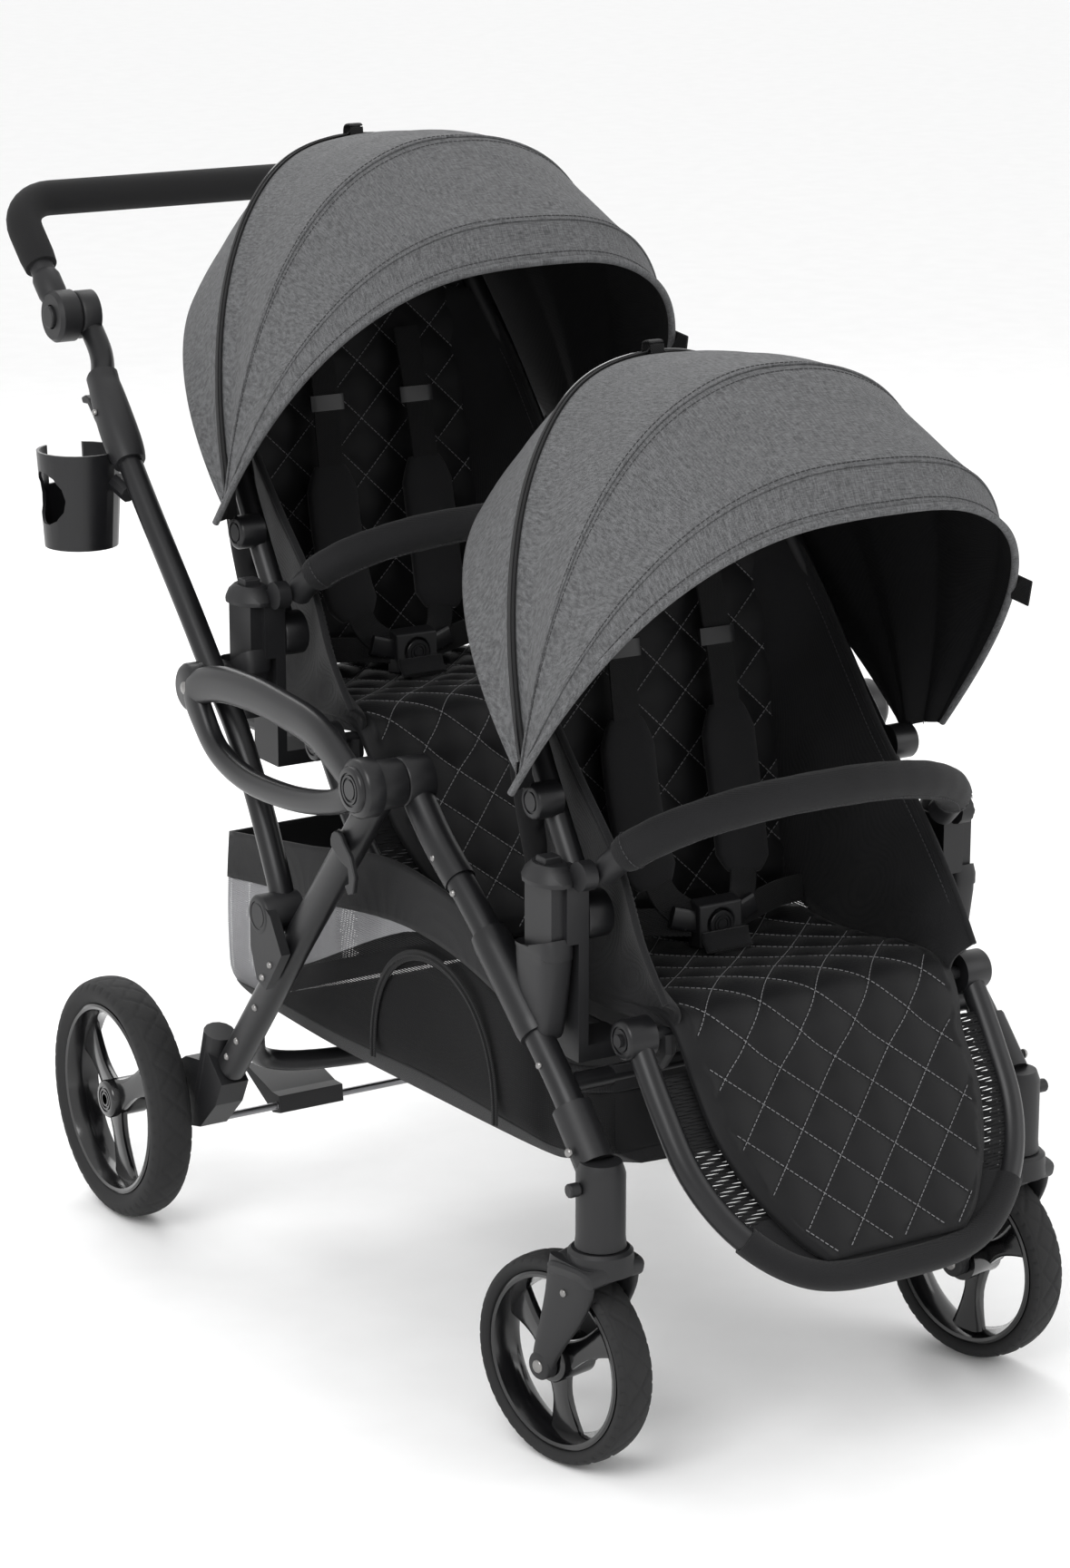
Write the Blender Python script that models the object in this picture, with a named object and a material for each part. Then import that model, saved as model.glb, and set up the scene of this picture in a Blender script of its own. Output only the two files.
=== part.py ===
"""Tandem double stroller: two raised seats, one behind the other, on a folding four-wheel chassis.

Metres, +Z up.  The stroller faces -Y, its right side is -X, and it stands on z = 0 with the
origin under the centre of its box.  Every moving piece has its origin on its joint's axis.
"""
import math

import bmesh
import bpy
from mathutils import Matrix, Vector

# ---- driving dimensions ---------------------------------------------------------------------
GAP = 0.0003                    # between pieces that touch

REAR_AXLE = (0.320, 0.127)      # y, z
REAR_TRACK = 0.3065             # wheel centre plane, from the middle
REAR_TYRE = (0.127, 0.045)      # radius, width
REAR_RIM = 0.102

CASTER = (0.232, -0.492)        # x, y of the swivel axis
CASTER_TURN = math.radians(11)  # both casters stand a little turned
CASTER_TRAIL = 0.046
FRONT_TYRE = (0.099, 0.040)
FRONT_RIM = 0.085
FORK_TOP = 0.2200
HOUSING_TOP = 0.300
SPINDLE = 0.006

HUB = (-0.166, 0.573)           # y, z of the main fold pivot
ARM_REAR = (0.177, 0.596)
FOLD_PIN = 0.006

FRONT_LEG_X = 0.232
REAR_LEG_X = 0.262
PUSH_TUBE_X = 0.256
FOOT_OF_TUBE = (0.0435, 0.3945)   # disc at the lower end of the push tube

TRIGGER_SLIDE = (0.727, 0.687)  # y, z direction of the upright where the trigger sits

HANDLE_X = 0.262
HANDLE_HUB = (0.503, 0.920)
GRIP = (0.616, 1.027)
GRIP_RADIUS = 0.0185

SEAT_STEP = Vector((0, 0.5625, 0.1454))   # rear seat, measured from the front seat
RECLINE_AXIS = (-0.395, 0.495)
CANOPY_AXIS = (-0.340, 0.590)
FOOTREST_AXIS = (-0.474, 0.401)
FOOTREST_DROP = math.radians(53.8)
BUMPER_AXIS = (-0.425, 0.542)
BUMPER_RISE = math.radians(42)
CANOPY_HALF_WIDTH = 0.212
CANOPY_REACH = 0.388
CANOPY_POWER = 2.25             # squareness of a canopy bow

SIDES = {"right": -1, "left": 1}

# ---- materials ------------------------------------------------------------------------------
FINISHES = {
    "tube": ((0.020, 0.020, 0.022), 0.38, 0.6),
    "plastic": ((0.028, 0.028, 0.030), 0.55, 0.0),
    "rim_plastic": ((0.012, 0.012, 0.013), 0.20, 0.0),
    "tyre": ((0.022, 0.022, 0.022), 0.85, 0.0),
    "foam": ((0.012, 0.012, 0.013), 0.90, 0.0),
    "steel": ((0.55, 0.55, 0.56), 0.30, 1.0),
    "seat_fabric": ((0.014, 0.014, 0.016), 0.80, 0.0),
    "canopy_fabric": ((0.16, 0.17, 0.18), 0.90, 0.0),
    "mesh_fabric": ((0.018, 0.018, 0.019), 0.90, 0.0),
}


def clear_scene():
    for obj in list(bpy.data.objects):
        bpy.data.objects.remove(obj, do_unlink=True)


def finish(name):
    mat = bpy.data.materials.get(name)
    if mat:
        return mat
    color, roughness, metallic = FINISHES[name]
    mat = bpy.data.materials.new(name)
    mat.use_nodes = True
    shader = mat.node_tree.nodes["Principled BSDF"]
    shader.inputs["Base Color"].default_value = (*color, 1)
    shader.inputs["Roughness"].default_value = roughness
    shader.inputs["Metallic"].default_value = metallic
    return mat


# ---- shape helpers: each adds one closed shell to a bmesh --------------------------------------
def bridge(bm, rings, closed):
    """Skin a list of equal rings of vertices; an open run gets end caps."""
    count = len(rings[0])
    last = len(rings) if closed else len(rings) - 1
    for i in range(last):
        low, high = rings[i], rings[(i + 1) % len(rings)]
        for j in range(count):
            k = (j + 1) % count
            bm.faces.new((low[j], low[k], high[k], high[j]))
    if not closed:
        bm.faces.new(reversed(rings[0]))
        bm.faces.new(rings[-1])


def sweep(bm, path, radii, normal, sides=10, closed=False):
    """Tube along a path. normal never runs along the path; radii are one, or (across, along it)."""
    points = [Vector(p) for p in path]
    if not isinstance(radii, list):
        radii = [radii] * len(points)
    rings = []
    for i, point in enumerate(points):
        before = points[i - 1] if i or closed else point
        after = points[(i + 1) % len(points)] if i + 1 < len(points) or closed else point
        tangent = (after - before).normalized()
        up = Vector(normal)
        up = (up - up.dot(tangent) * tangent).normalized()
        across = tangent.cross(up)
        wide, high = radii[i] if isinstance(radii[i], tuple) else (radii[i], radii[i])
        turns = [2 * math.pi * j / sides for j in range(sides)]
        rings.append([bm.verts.new(point + across * wide * math.cos(a) + up * high * math.sin(a))
                      for a in turns])
    bridge(bm, rings, closed)


def lathe(bm, profile, centre=(0, 0, 0), axis="X", segments=24):
    """Turn a closed (radius, height) profile; points at radius 0 become poles."""
    centre = Vector(centre)
    rows = []
    for radius, height in profile:
        turns = 1 if radius == 0 else segments
        row = []
        for j in range(turns):
            a = 2 * math.pi * j / segments
            u, v = radius * math.cos(a), radius * math.sin(a)
            offset = Vector((height, u, v)) if axis == "X" else Vector((u, v, height))
            row.append(bm.verts.new(centre + offset))
        rows.append(row)
    for i, row in enumerate(rows):
        other = rows[(i + 1) % len(rows)]
        for j in range(segments):
            k = (j + 1) % segments
            quad = [row[j % len(row)], row[k % len(row)], other[k % len(other)], other[j % len(other)]]
            corners = list(dict.fromkeys(quad))
            if len(corners) > 2:
                bm.faces.new(corners)


def prism(bm, outline, axis, low, high):
    """Extrude an outline: (y, z) points along X, or (x, z) points along Y."""
    def place(point, depth):
        return (depth, point[0], point[1]) if axis == "X" else (point[0], depth, point[1])
    rings = [[bm.verts.new(place(p, depth)) for p in outline] for depth in (low, high)]
    bridge(bm, rings, False)


def box(bm, low, high):
    outline = [(low[1], low[2]), (high[1], low[2]), (high[1], high[2]), (low[1], high[2])]
    prism(bm, outline, "X", low[0], high[0])


def circle(centre, radius, count=16, start=0.0, end=2 * math.pi):
    """Points on a circle, or on an arc of it with both ends."""
    full = abs(end - start) >= 2 * math.pi
    steps = count if full else count - 1
    angles = [start + (end - start) * i / steps for i in range(count)]
    return [(centre[0] + radius * math.cos(a), centre[1] + radius * math.sin(a)) for a in angles]


def smooth_path(points, per_span=2):
    """Catmull-Rom curve through the points."""
    pts = [Vector(p) for p in points]
    out = []
    for i in range(len(pts) - 1):
        p0, p1, p2, p3 = pts[max(i - 1, 0)], pts[i], pts[i + 1], pts[min(i + 2, len(pts) - 1)]
        for j in range(per_span):
            t = j / per_span
            out.append(0.5 * (2 * p1 + (p2 - p0) * t + (2 * p0 - 5 * p1 + 4 * p2 - p3) * t * t
                              + (3 * p1 - p0 - 3 * p2 + p3) * t ** 3))
    return out + [pts[-1]]


def add(name, bm, mat, origin=(0, 0, 0), turn=0.0, flat=False):
    """Make the object. Vertices are given in place; the mesh is stored relative to its origin."""
    bmesh.ops.recalc_face_normals(bm, faces=bm.faces)
    place = Matrix.Translation(Vector(origin)) @ Matrix.Rotation(turn, 4, "Z")
    bmesh.ops.transform(bm, matrix=Matrix.Translation(-Vector(origin)), verts=bm.verts)
    mesh = bpy.data.meshes.new(name)
    bm.to_mesh(mesh)
    bm.free()
    mesh.materials.append(finish(mat))
    if not flat:
        mesh.shade_smooth()
        mesh.set_sharp_from_angle(angle=math.radians(35))
    obj = bpy.data.objects.new(name, mesh)
    obj.matrix_world = place
    bpy.context.scene.collection.objects.link(obj)
    return obj


def shape(builder, *args, **kwargs):
    """A bmesh holding one helper's shape."""
    bm = bmesh.new()
    builder(bm, *args, **kwargs)
    return bm


def combine(obj, operation, *shapes):
    """Join shapes to an object or cut them from it. They are given in place, like the object's."""
    for index, bm in enumerate(shapes):
        name = f"{operation.lower()}_{obj.name}_{len(obj.modifiers)}_{index}"
        other = add(name[:58], bm, "plastic")
        other.matrix_world = Matrix.Rotation(0, 4, "Z")
        if obj.get("turned"):
            other.matrix_world = obj.matrix_world @ Matrix.Translation(-Vector(obj["turned"]))
        other.hide_render = True
        other.display_type = "WIRE"
        tool = obj.modifiers.new(operation.lower(), "BOOLEAN")
        tool.operation = operation
        tool.object = other
    return obj


def span(sign, near, far):
    """The two x values of a piece between near and far from the middle, low one first."""
    return sorted((sign * near, sign * far))


def rod_x(low, high, centre, radius, segments=16):
    """A cylinder along X, as a bmesh."""
    return shape(lathe, [(0, low), (radius, low), (radius, high), (0, high)],
                 (0, *centre), "X", segments)


# ---- wheels and casters ----------------------------------------------------------------------
def add_tyre(name, centre, radius, width, rim, origin, turn):
    half = width / 2
    seat = rim + GAP
    thick = radius - rim
    bead, shoulder, edge = rim + 0.30 * thick, radius - 0.36 * thick, radius - 0.08 * thick
    profile = [(seat, -0.36 * width), (bead, -half), (shoulder, -half), (edge, -0.34 * width),
               (radius, -0.15 * width), (radius, 0.15 * width), (edge, 0.34 * width),
               (shoulder, half), (bead, half), (seat, 0.36 * width)]
    obj = add(name, shape(lathe, profile, centre, "X", 24), "tyre", centre)
    place_turned(obj, centre, origin, turn)


def place_turned(obj, centre, origin, turn):
    """Swing an object built straight behind its caster axis round to its turned place."""
    pivot = Vector(origin)
    swing = Matrix.Translation(pivot) @ Matrix.Rotation(turn, 4, "Z") @ Matrix.Translation(-pivot)
    obj.matrix_world = swing @ obj.matrix_world
    obj["turned"] = tuple(centre)


def add_rim(name, centre, rim, width, hub, origin, turn):
    """One-piece wheel centre: hub with a bore, three spokes and the ring under the tyre."""
    half = 0.36 * width
    bore = SPINDLE + 0.0005
    profile = [(bore, -hub), (0.020, -hub), (0.022, -0.006), (rim - 0.014, -0.006),
               (rim - 0.012, -half), (rim, -half), (rim, half), (rim - 0.012, half),
               (rim - 0.014, 0.006), (0.022, 0.006), (0.020, hub), (bore, hub)]
    obj = add(name, shape(lathe, profile, centre, "X", 24), "rim_plastic", centre)
    place_turned(obj, centre, origin, turn)
    windows = []
    for index in range(3):
        middle = math.radians(90 + 120 * index)
        outer = circle(centre[1:], rim - 0.016, 7, middle - 0.86, middle + 0.86)
        inner = circle(centre[1:], 0.028, 4, middle + 0.62, middle - 0.62)
        windows.append(shape(prism, outer + inner, "X", centre[0] - 0.03, centre[0] + 0.03))
    combine(obj, "DIFFERENCE", *windows)


def add_rear_wheel(side, sign):
    centre = (sign * REAR_TRACK, *REAR_AXLE)
    radius, width = REAR_TYRE
    add_tyre(f"rear_tyre_{side}", centre, radius, width, REAR_RIM, centre, 0)
    add_rim(f"rear_rim_{side}", centre, REAR_RIM, width, 0.0215, centre, 0)


def add_caster(side, sign):
    """Fork with its spindle, and the wheel in it, all turned about the swivel axis."""
    x, y = sign * CASTER[0], CASTER[1]
    radius, width = FRONT_TYRE
    axis = (x, y, 0)
    centre = (x, y + CASTER_TRAIL, radius)
    add_tyre(f"front_tyre_{side}", centre, radius, width, FRONT_RIM, axis, CASTER_TURN)
    add_rim(f"front_rim_{side}", centre, FRONT_RIM, width, 0.0225, axis, CASTER_TURN)
    reach, drop = centre[1], centre[2]
    outline = [(y - 0.026, FORK_TOP), (y + 0.030, FORK_TOP), (y + 0.068, 0.207),
               (y + 0.082, 0.188), (reach + 0.016, drop), (reach + 0.010, drop - 0.014),
               (reach - 0.010, drop - 0.014), (reach - 0.017, drop), (y - 0.004, 0.165),
               (y - 0.030, 0.196)]
    fork = add(f"caster_fork_{side}", shape(prism, outline, "X", x - 0.034, x + 0.034), "plastic", axis)
    place_turned(fork, axis, axis, CASTER_TURN)
    clear = 0.0255
    slot = shape(lathe, [(0, x - clear), (radius + 0.005, x - clear), (radius + 0.005, x + clear),
                         (0, x + clear)], (0, reach, drop), "X", 32)
    spindle = shape(lathe, [(0, FORK_TOP - 0.008), (SPINDLE, FORK_TOP - 0.008), (SPINDLE, 0.282),
                            (0, 0.282)], (x, y, 0), "Z", 12)
    combine(fork, "DIFFERENCE", slot)
    axle = rod_x(x - 0.031, x + 0.031, (reach, drop), SPINDLE, 12)
    combine(fork, "UNION", spindle, axle)


def leg_point(y):
    """Height of the front leg's centre line where its lower half runs straight."""
    return 0.346 - (-0.433 - y) * (0.346 - 0.298) / (0.478 - 0.433)


def add_caster_housing(side, sign):
    x, y = sign * CASTER[0], CASTER[1]
    low = FORK_TOP + 0.0005
    bore = SPINDLE + 0.0005
    profile = [(bore, low), (0.0235, low), (0.0225, low + 0.010), (0.0225, HOUSING_TOP - 0.010),
               (0.019, HOUSING_TOP), (0, HOUSING_TOP), (0, 0.285), (bore, 0.285)]
    obj = add(f"caster_housing_{side}", shape(lathe, profile, (x, y, 0), "Z", 20), "plastic", (x, y, 0))
    collar = [(x, -0.443, leg_point(-0.443)), (x, -0.482, leg_point(-0.482))]
    socket = [(x, -0.430, leg_point(-0.430)), (x, -0.4670, leg_point(-0.4670))]
    combine(obj, "UNION", shape(sweep, collar, 0.0185, (1, 0, 0), 12))
    combine(obj, "DIFFERENCE", shape(sweep, socket, 0.0139, (1, 0, 0), 12))
    outer = x + sign * 0.0225
    knob_low, knob_high = sorted((outer + sign * 0.0006, outer + sign * 0.0120))
    knob = rod_x(knob_low, knob_high, (y, 0.278), 0.0065, 12)
    add(f"swivel_lock_{side}", knob, "plastic", (outer, y, 0.278))


# ---- chassis ---------------------------------------------------------------------------------
def pivot_boss(sign, near, far):
    """A disc about the main fold pivot, as a bmesh."""
    return rod_x(*span(sign, near, far), HUB, 0.0235, 20)


def pin_hole(sign, near, far):
    low, high = span(sign, near, far)
    return rod_x(low, high, HUB, FOLD_PIN + 0.0005, 20)


def front_leg_path(sign):
    """Curved tube from the fold pivot down to the caster, with a thick sleeve half way."""
    x = sign * FRONT_LEG_X
    line = [(-0.170, 0.562), (-0.211, 0.524), (-0.276, 0.478), (-0.300, 0.461), (-0.308, 0.454),
            (-0.345, 0.424), (-0.379, 0.394), (-0.387, 0.387), (-0.433, 0.346)]
    path = [(x, y, z) for y, z in line] + [(x, -0.466, leg_point(-0.466))]
    radii = [0.0150] * 4 + [0.0185] * 3 + [0.0135] * 3
    return path, radii


def add_front_frame():
    """Both front legs and the tube that ties them together under the front seat."""
    cross = (-0.425, leg_point(-0.425) - 0.004)
    obj = add("front_frame", rod_x(-0.228, 0.228, cross, 0.009, 12), "tube")
    for sign in SIDES.values():
        path, radii = front_leg_path(sign)
        combine(obj, "UNION", shape(sweep, path, radii, (1, 0, 0), 12))
        combine(obj, "UNION", pivot_boss(sign, 0.2195, 0.2485))
        combine(obj, "DIFFERENCE", pin_hole(sign, 0.2100, 0.2600))


def add_rear_frame():
    """Both rear legs, flat oval tubes, and the low cross tube behind the basket."""
    cross = smooth_path([(-0.250, 0.128, 0.238), (-0.215, 0.175, 0.196), (-0.150, 0.165, 0.186),
                         (0, 0.150, 0.186), (0.150, 0.165, 0.186), (0.215, 0.175, 0.196),
                         (0.250, 0.128, 0.238)], 2)
    obj = add("rear_frame", shape(sweep, cross, 0.0105, (0, 0, 1), 10), "tube", (0, *HUB))
    for sign in SIDES.values():
        x = sign * REAR_LEG_X
        leg = [(x, HUB[0] + 0.010, HUB[1] - 0.012), (x, 0.0, 0.384), (x, 0.156, 0.2005)]
        radii = [(0.0165, 0.0128)] * 3
        combine(obj, "UNION", shape(sweep, leg, radii, (1, 0, 0), 12))
        combine(obj, "UNION", pivot_boss(sign, 0.2495, 0.2762))
        combine(obj, "DIFFERENCE", pin_hole(sign, 0.2400, 0.2850))


def add_side_arm(side, sign):
    """D-shaped plastic arm from the fold pivot back to the push tube, with the pivot's pin."""
    low, high = span(sign, 0.2768, 0.2968)
    rear = circle(ARM_REAR, 0.024, 7, math.radians(75), math.radians(-60))
    front = circle(HUB, 0.027, 7, math.radians(285), math.radians(75))
    lower = [(0.153, 0.548), (0.121, 0.529), (0.071, 0.520), (0.011, 0.519), (-0.044, 0.523),
             (-0.098, 0.532)]
    upper = [(-0.118, 0.613), (-0.065, 0.625), (-0.011, 0.632), (0.054, 0.634), (0.111, 0.629)]
    arm = add(f"side_arm_{side}", shape(prism, rear + lower + front + upper, "X", low, high),
              "plastic", (0, *HUB))
    hole = [(0.136, 0.580), (0.127, 0.558), (0.105, 0.540), (0.048, 0.536), (-0.026, 0.540),
            (-0.090, 0.549), (-0.122, 0.560), (-0.126, 0.573), (-0.112, 0.584), (-0.082, 0.592),
            (-0.028, 0.600), (0.027, 0.601), (0.083, 0.597), (0.120, 0.592)]
    cut_low, cut_high = span(sign, 0.26, 0.32)
    combine(arm, "DIFFERENCE", shape(prism, hole, "X", cut_low, cut_high))
    cap_low, cap_high = span(sign, 0.290, 0.301)
    pin_low, pin_high = span(sign, 0.2210, 0.285)
    combine(arm, "UNION", rod_x(cap_low, cap_high, HUB, 0.0215, 20))
    combine(arm, "UNION", rod_x(pin_low, pin_high, HUB, FOLD_PIN, 16))


def add_push_tube(side, sign):
    """Bent upright with the fold trigger's housing, the handle's inner hub and the foot bracket."""
    line = [(0.258, 0.0450, 0.4000), (0.258, 0.058, 0.430), (0.257, 0.096, 0.495), (0.256, 0.141, 0.557),
            (0.256, 0.190, 0.606), (0.256, 0.241, 0.660), (0.256, 0.327, 0.747),
            (0.256, 0.372, 0.793), (0.254, 0.389, 0.810), (0.252, 0.416, 0.836),
            (0.248, 0.443, 0.861), (0.240, 0.456, 0.873),
            (0.2355, 0.470, 0.887), (0.2355, 0.489, 0.905)]
    path = [(sign * x, y, z) for x, y, z in line]
    radii = [0.0125] * 8 + [0.0175] * 3 + [0.0125] * 3
    obj = add(f"push_tube_{side}", shape(sweep, path, radii, (1, 0, 0), 12), "tube", path[0])
    hub_low, hub_high = span(sign, 0.2280, 0.2485)
    pin_low, pin_high = span(sign, 0.2400, 0.2630)
    disc_low, disc_high = span(sign, 0.2455, 0.2885)
    plate_low, plate_high = span(sign, 0.2775, 0.2885)
    plate = [(0.060, 0.398), (0.042, 0.413), (0.018, 0.400), (-0.004, 0.366), (0.008, 0.350),
             (0.030, 0.322), (0.048, 0.328), (0.060, 0.360)]
    combine(obj, "UNION", rod_x(hub_low, hub_high, HANDLE_HUB, 0.025, 20),
            rod_x(pin_low, pin_high, HANDLE_HUB, 0.005, 12),
            rod_x(disc_low, disc_high, FOOT_OF_TUBE, 0.0205, 18),
            shape(prism, plate, "X", plate_low, plate_high))


def add_socket(name, sign, shift, outer, base):
    """Open-topped pocket that takes a seat's post. base is the outline of its (y, z) lower edge."""
    y0, y1, top = -0.418, -0.352, 0.472
    outline = [(y0, top), *base, (y1, top)]
    place = [(y + shift.y, z + shift.z) for y, z in outline]
    low, high = span(sign, 0.2085, outer)
    obj = add(name, shape(prism, place, "X", low, high), "plastic", flat=True)
    pocket_x = span(sign, 0.2130, 0.2340)
    pocket = shape(box, (pocket_x[0], -0.4115 + shift.y, 0.446 + shift.z),
                   (pocket_x[1], -0.3645 + shift.y, 0.500 + shift.z))
    combine(obj, "DIFFERENCE", pocket)


def add_sockets(side, sign):
    on_leg = [(-0.418, leg_point(-0.418) + 0.0275), (-0.352, 0.4445)]
    on_tube = [(-0.418, 0.434), (-0.404, 0.420), (-0.366, 0.420), (-0.352, 0.434)]
    add_socket(f"seat_socket_front_{side}", sign, Vector((0, 0, 0)), 0.2415, on_leg)
    add_socket(f"seat_socket_rear_{side}", sign, SEAT_STEP, 0.2432, on_tube)


def add_axle_bracket(side, sign):
    """Plastic suspension block: takes the foot of the rear leg and carries the wheel's stub axle."""
    low, high = span(sign, 0.2480, 0.2790)
    outline = [(0.146, 0.186), (0.176, 0.212), (0.188, 0.200), (0.226, 0.194), (0.300, 0.150),
               *circle(REAR_AXLE, 0.020, 6, math.radians(60), math.radians(-100)),
               (0.230, 0.118), (0.196, 0.126), (0.160, 0.160)]
    obj = add(f"axle_bracket_{side}", shape(prism, outline, "X", low, high), "plastic")
    stub = span(sign, 0.2600, 0.3270)
    pot = [(sign * 0.2635, 0.205, 0.150), (sign * 0.2635, 0.178, 0.232)]
    leg_end = [(sign * REAR_LEG_X, 0.0, 0.384), (sign * REAR_LEG_X, 0.1565, 0.2000)]
    combine(obj, "UNION", shape(sweep, pot, 0.0165, (1, 0, 0), 14), rod_x(*stub, REAR_AXLE, SPINDLE, 12))
    combine(obj, "DIFFERENCE", shape(sweep, leg_end, [(0.0169, 0.0132)] * 2, (1, 0, 0), 12))


def add_brake_pedal():
    """Cross rod between the axle brackets with the foot pedal on it."""
    rod = (0.196, 0.132)
    obj = add("brake_pedal", rod_x(-0.2472, 0.2472, rod, 0.004, 10), "steel", (0, *rod))
    outline = [(0.188, 0.126), (0.205, 0.122), (0.262, 0.150), (0.264, 0.158), (0.206, 0.144),
               (0.190, 0.144)]
    combine(obj, "UNION", shape(prism, outline, "X", -0.190, -0.115))


def add_latch():
    """Storage hook on the right rear leg that holds the folded frame shut."""
    outline = [*circle((-0.106, 0.503), 0.013, 7, math.radians(-20), math.radians(160)),
               (-0.132, 0.496), (-0.140, 0.478), (-0.136, 0.462), (-0.126, 0.458), (-0.120, 0.466),
               (-0.128, 0.470), (-0.126, 0.484), (-0.112, 0.488)]
    low, high = span(-1, 0.2766, 0.2815)
    add("storage_latch", shape(prism, outline, "X", low, high), "plastic", (-0.279, -0.106, 0.503))


def add_handle():
    """U-shaped push handle with a foam grip, on a pivot hub at each end."""
    along = Vector((0, GRIP[0] - HANDLE_HUB[0], GRIP[1] - HANDLE_HUB[1]))
    normal = Vector((1, 0, 0)).cross(along)
    bend = 0.042
    length = along.length
    half = []
    for distance, radius in ((0.020, 0.0128), (0.060, 0.0128), (0.066, GRIP_RADIUS)):
        half.append((HANDLE_X, distance, radius))
    for step in range(5):
        a = math.pi / 2 * step / 4
        half.append((HANDLE_X - bend * (1 - math.cos(a)), length - bend * (1 - math.sin(a)), GRIP_RADIUS))
    points, radii = [], []
    unit = along.normalized()
    for sign, run in ((-1, half), (1, list(reversed(half)))):
        for x, distance, radius in run:
            points.append(Vector((sign * x, *HANDLE_HUB)) + unit * distance)
            radii.append(radius)
    obj = add("handle", shape(sweep, points, radii, normal, 12), "foam", (0, *HANDLE_HUB))
    for sign in SIDES.values():
        x = [sign * v for v in (0.2490, 0.2645, 0.2670, 0.2750)]
        profile = [(0.0055, x[0]), (0.027, x[0]), (0.027, x[3]), (0.0125, x[3]), (0.0125, x[2]),
                   (0, x[2]), (0, x[1]), (0.0055, x[1])]
        combine(obj, "UNION", shape(lathe, profile, (0, *HANDLE_HUB), "X", 20))


def add_handle_button(side, sign):
    low, high = span(sign, 0.2712, 0.2790)
    add(f"handle_button_{side}", rod_x(low, high, HANDLE_HUB, 0.0118, 16), "plastic",
        (sign * 0.2712, *HANDLE_HUB))


def add_fold_trigger(side, sign):
    """Squeeze lever under the housing on each upright; it slides up the tube."""
    start, along = Vector((0.389, 0.810)), Vector(TRIGGER_SLIDE)
    below = Vector((along.y, -along.x))
    offsets = [(0.004, 0.0195), (0.066, 0.0195), (0.074, 0.0240), (0.078, 0.0330), (0.072, 0.0350),
               (0.064, 0.0265), (0.006, 0.0255)]
    outline = [tuple(start + along * s + below * n) for s, n in offsets]
    low, high = span(sign, 0.242, 0.260)
    add(f"fold_trigger_{side}", shape(prism, outline, "X", low, high), "plastic",
        (sign * 0.251, *outline[0]))


def add_cup_holder():
    """Open cup on the right upright: a ring with a floor and two round windows."""
    centre = (-0.285, 0.424)
    low, high, radius, wall = 0.695, 0.795, 0.0440, 0.003
    profile = [(0, low), (radius - 0.006, low), (radius, high), (radius - wall, high),
               (radius - 0.006 - wall, low + wall), (0, low + wall)]
    obj = add("cup_holder", shape(lathe, profile, (*centre, 0), "Z", 24), "plastic", flat=True)
    window = [(y, z) for y, z in circle((centre[1], 0.748), 0.028, 14)]
    side = shape(prism, window, "X", -0.36, -0.30)
    notch = shape(box, (-0.304, 0.440, 0.755), (-0.264, 0.500, 0.810))
    combine(obj, "DIFFERENCE", side, notch)
    arm = [(-0.262, 0.386, 0.765), (-0.258, 0.364, 0.7555)]
    combine(obj, "UNION", shape(sweep, arm, 0.010, (0, 0, 1), 10))
    tube = [(-0.256, 0.241, 0.660), (-0.256, 0.327, 0.747), (-0.256, 0.372, 0.793), (-0.254, 0.389, 0.810)]
    radii = [0.0129, 0.0129, 0.0135, 0.0180]
    combine(obj, "DIFFERENCE", shape(sweep, tube, radii, (1, 0, 0), 12))


def add_basket():
    """Open fabric basket, lower at the front, hung between the legs."""
    wall = 0.004
    stations = [(-0.430, 0.336, 0.264, 0.178), (-0.352, 0.350, 0.246, 0.196),
                (-0.300, 0.432, 0.240, 0.203), (-0.100, 0.470, 0.234, 0.206),
                (0.100, 0.440, 0.228, 0.206), (0.268, 0.412, 0.226, 0.200)]
    bm = bmesh.new()

    def half_section(y, top, floor, wide, inset):
        z = floor + inset
        x = wide - inset
        return [(-x, y, top), (-x + 0.006, y, floor + 0.050), (-x + 0.030, y, z), (x - 0.030, y, z),
                (x - 0.006, y, floor + 0.050), (x, y, top)]
    outer = [[bm.verts.new(p) for p in half_section(y, top, floor, wide, 0)]
             for y, top, floor, wide in stations]
    inner_stations = [(min(max(y, stations[0][0] + wall), stations[-1][0] - wall), t, f, w)
                      for y, t, f, w in stations]
    inner = [[bm.verts.new(p) for p in half_section(y, top, floor, wide, wall)]
             for y, top, floor, wide in inner_stations]
    count = len(outer[0])
    for rows in (outer, inner):
        for low, high in zip(rows, rows[1:]):
            for j in range(count - 1):
                bm.faces.new((low[j], low[j + 1], high[j + 1], high[j]))
        bm.faces.new(rows[0])
        bm.faces.new(rows[-1])
    for j in (0, count - 1):
        for i in range(len(stations) - 1):
            bm.faces.new((outer[i][j], outer[i + 1][j], inner[i + 1][j], inner[i][j]))
    for i in (0, -1):
        bm.faces.new((outer[i][0], outer[i][-1], inner[i][-1], inner[i][0]))
    add("storage_basket", bm, "mesh_fabric")


# ---- seats -----------------------------------------------------------------------------------
def moved(bm, shift):
    bmesh.ops.translate(bm, vec=shift, verts=bm.verts)
    return bm


def at(shift, axis, x=0.0):
    return (x, axis[0] + shift.y, axis[1] + shift.z)


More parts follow.
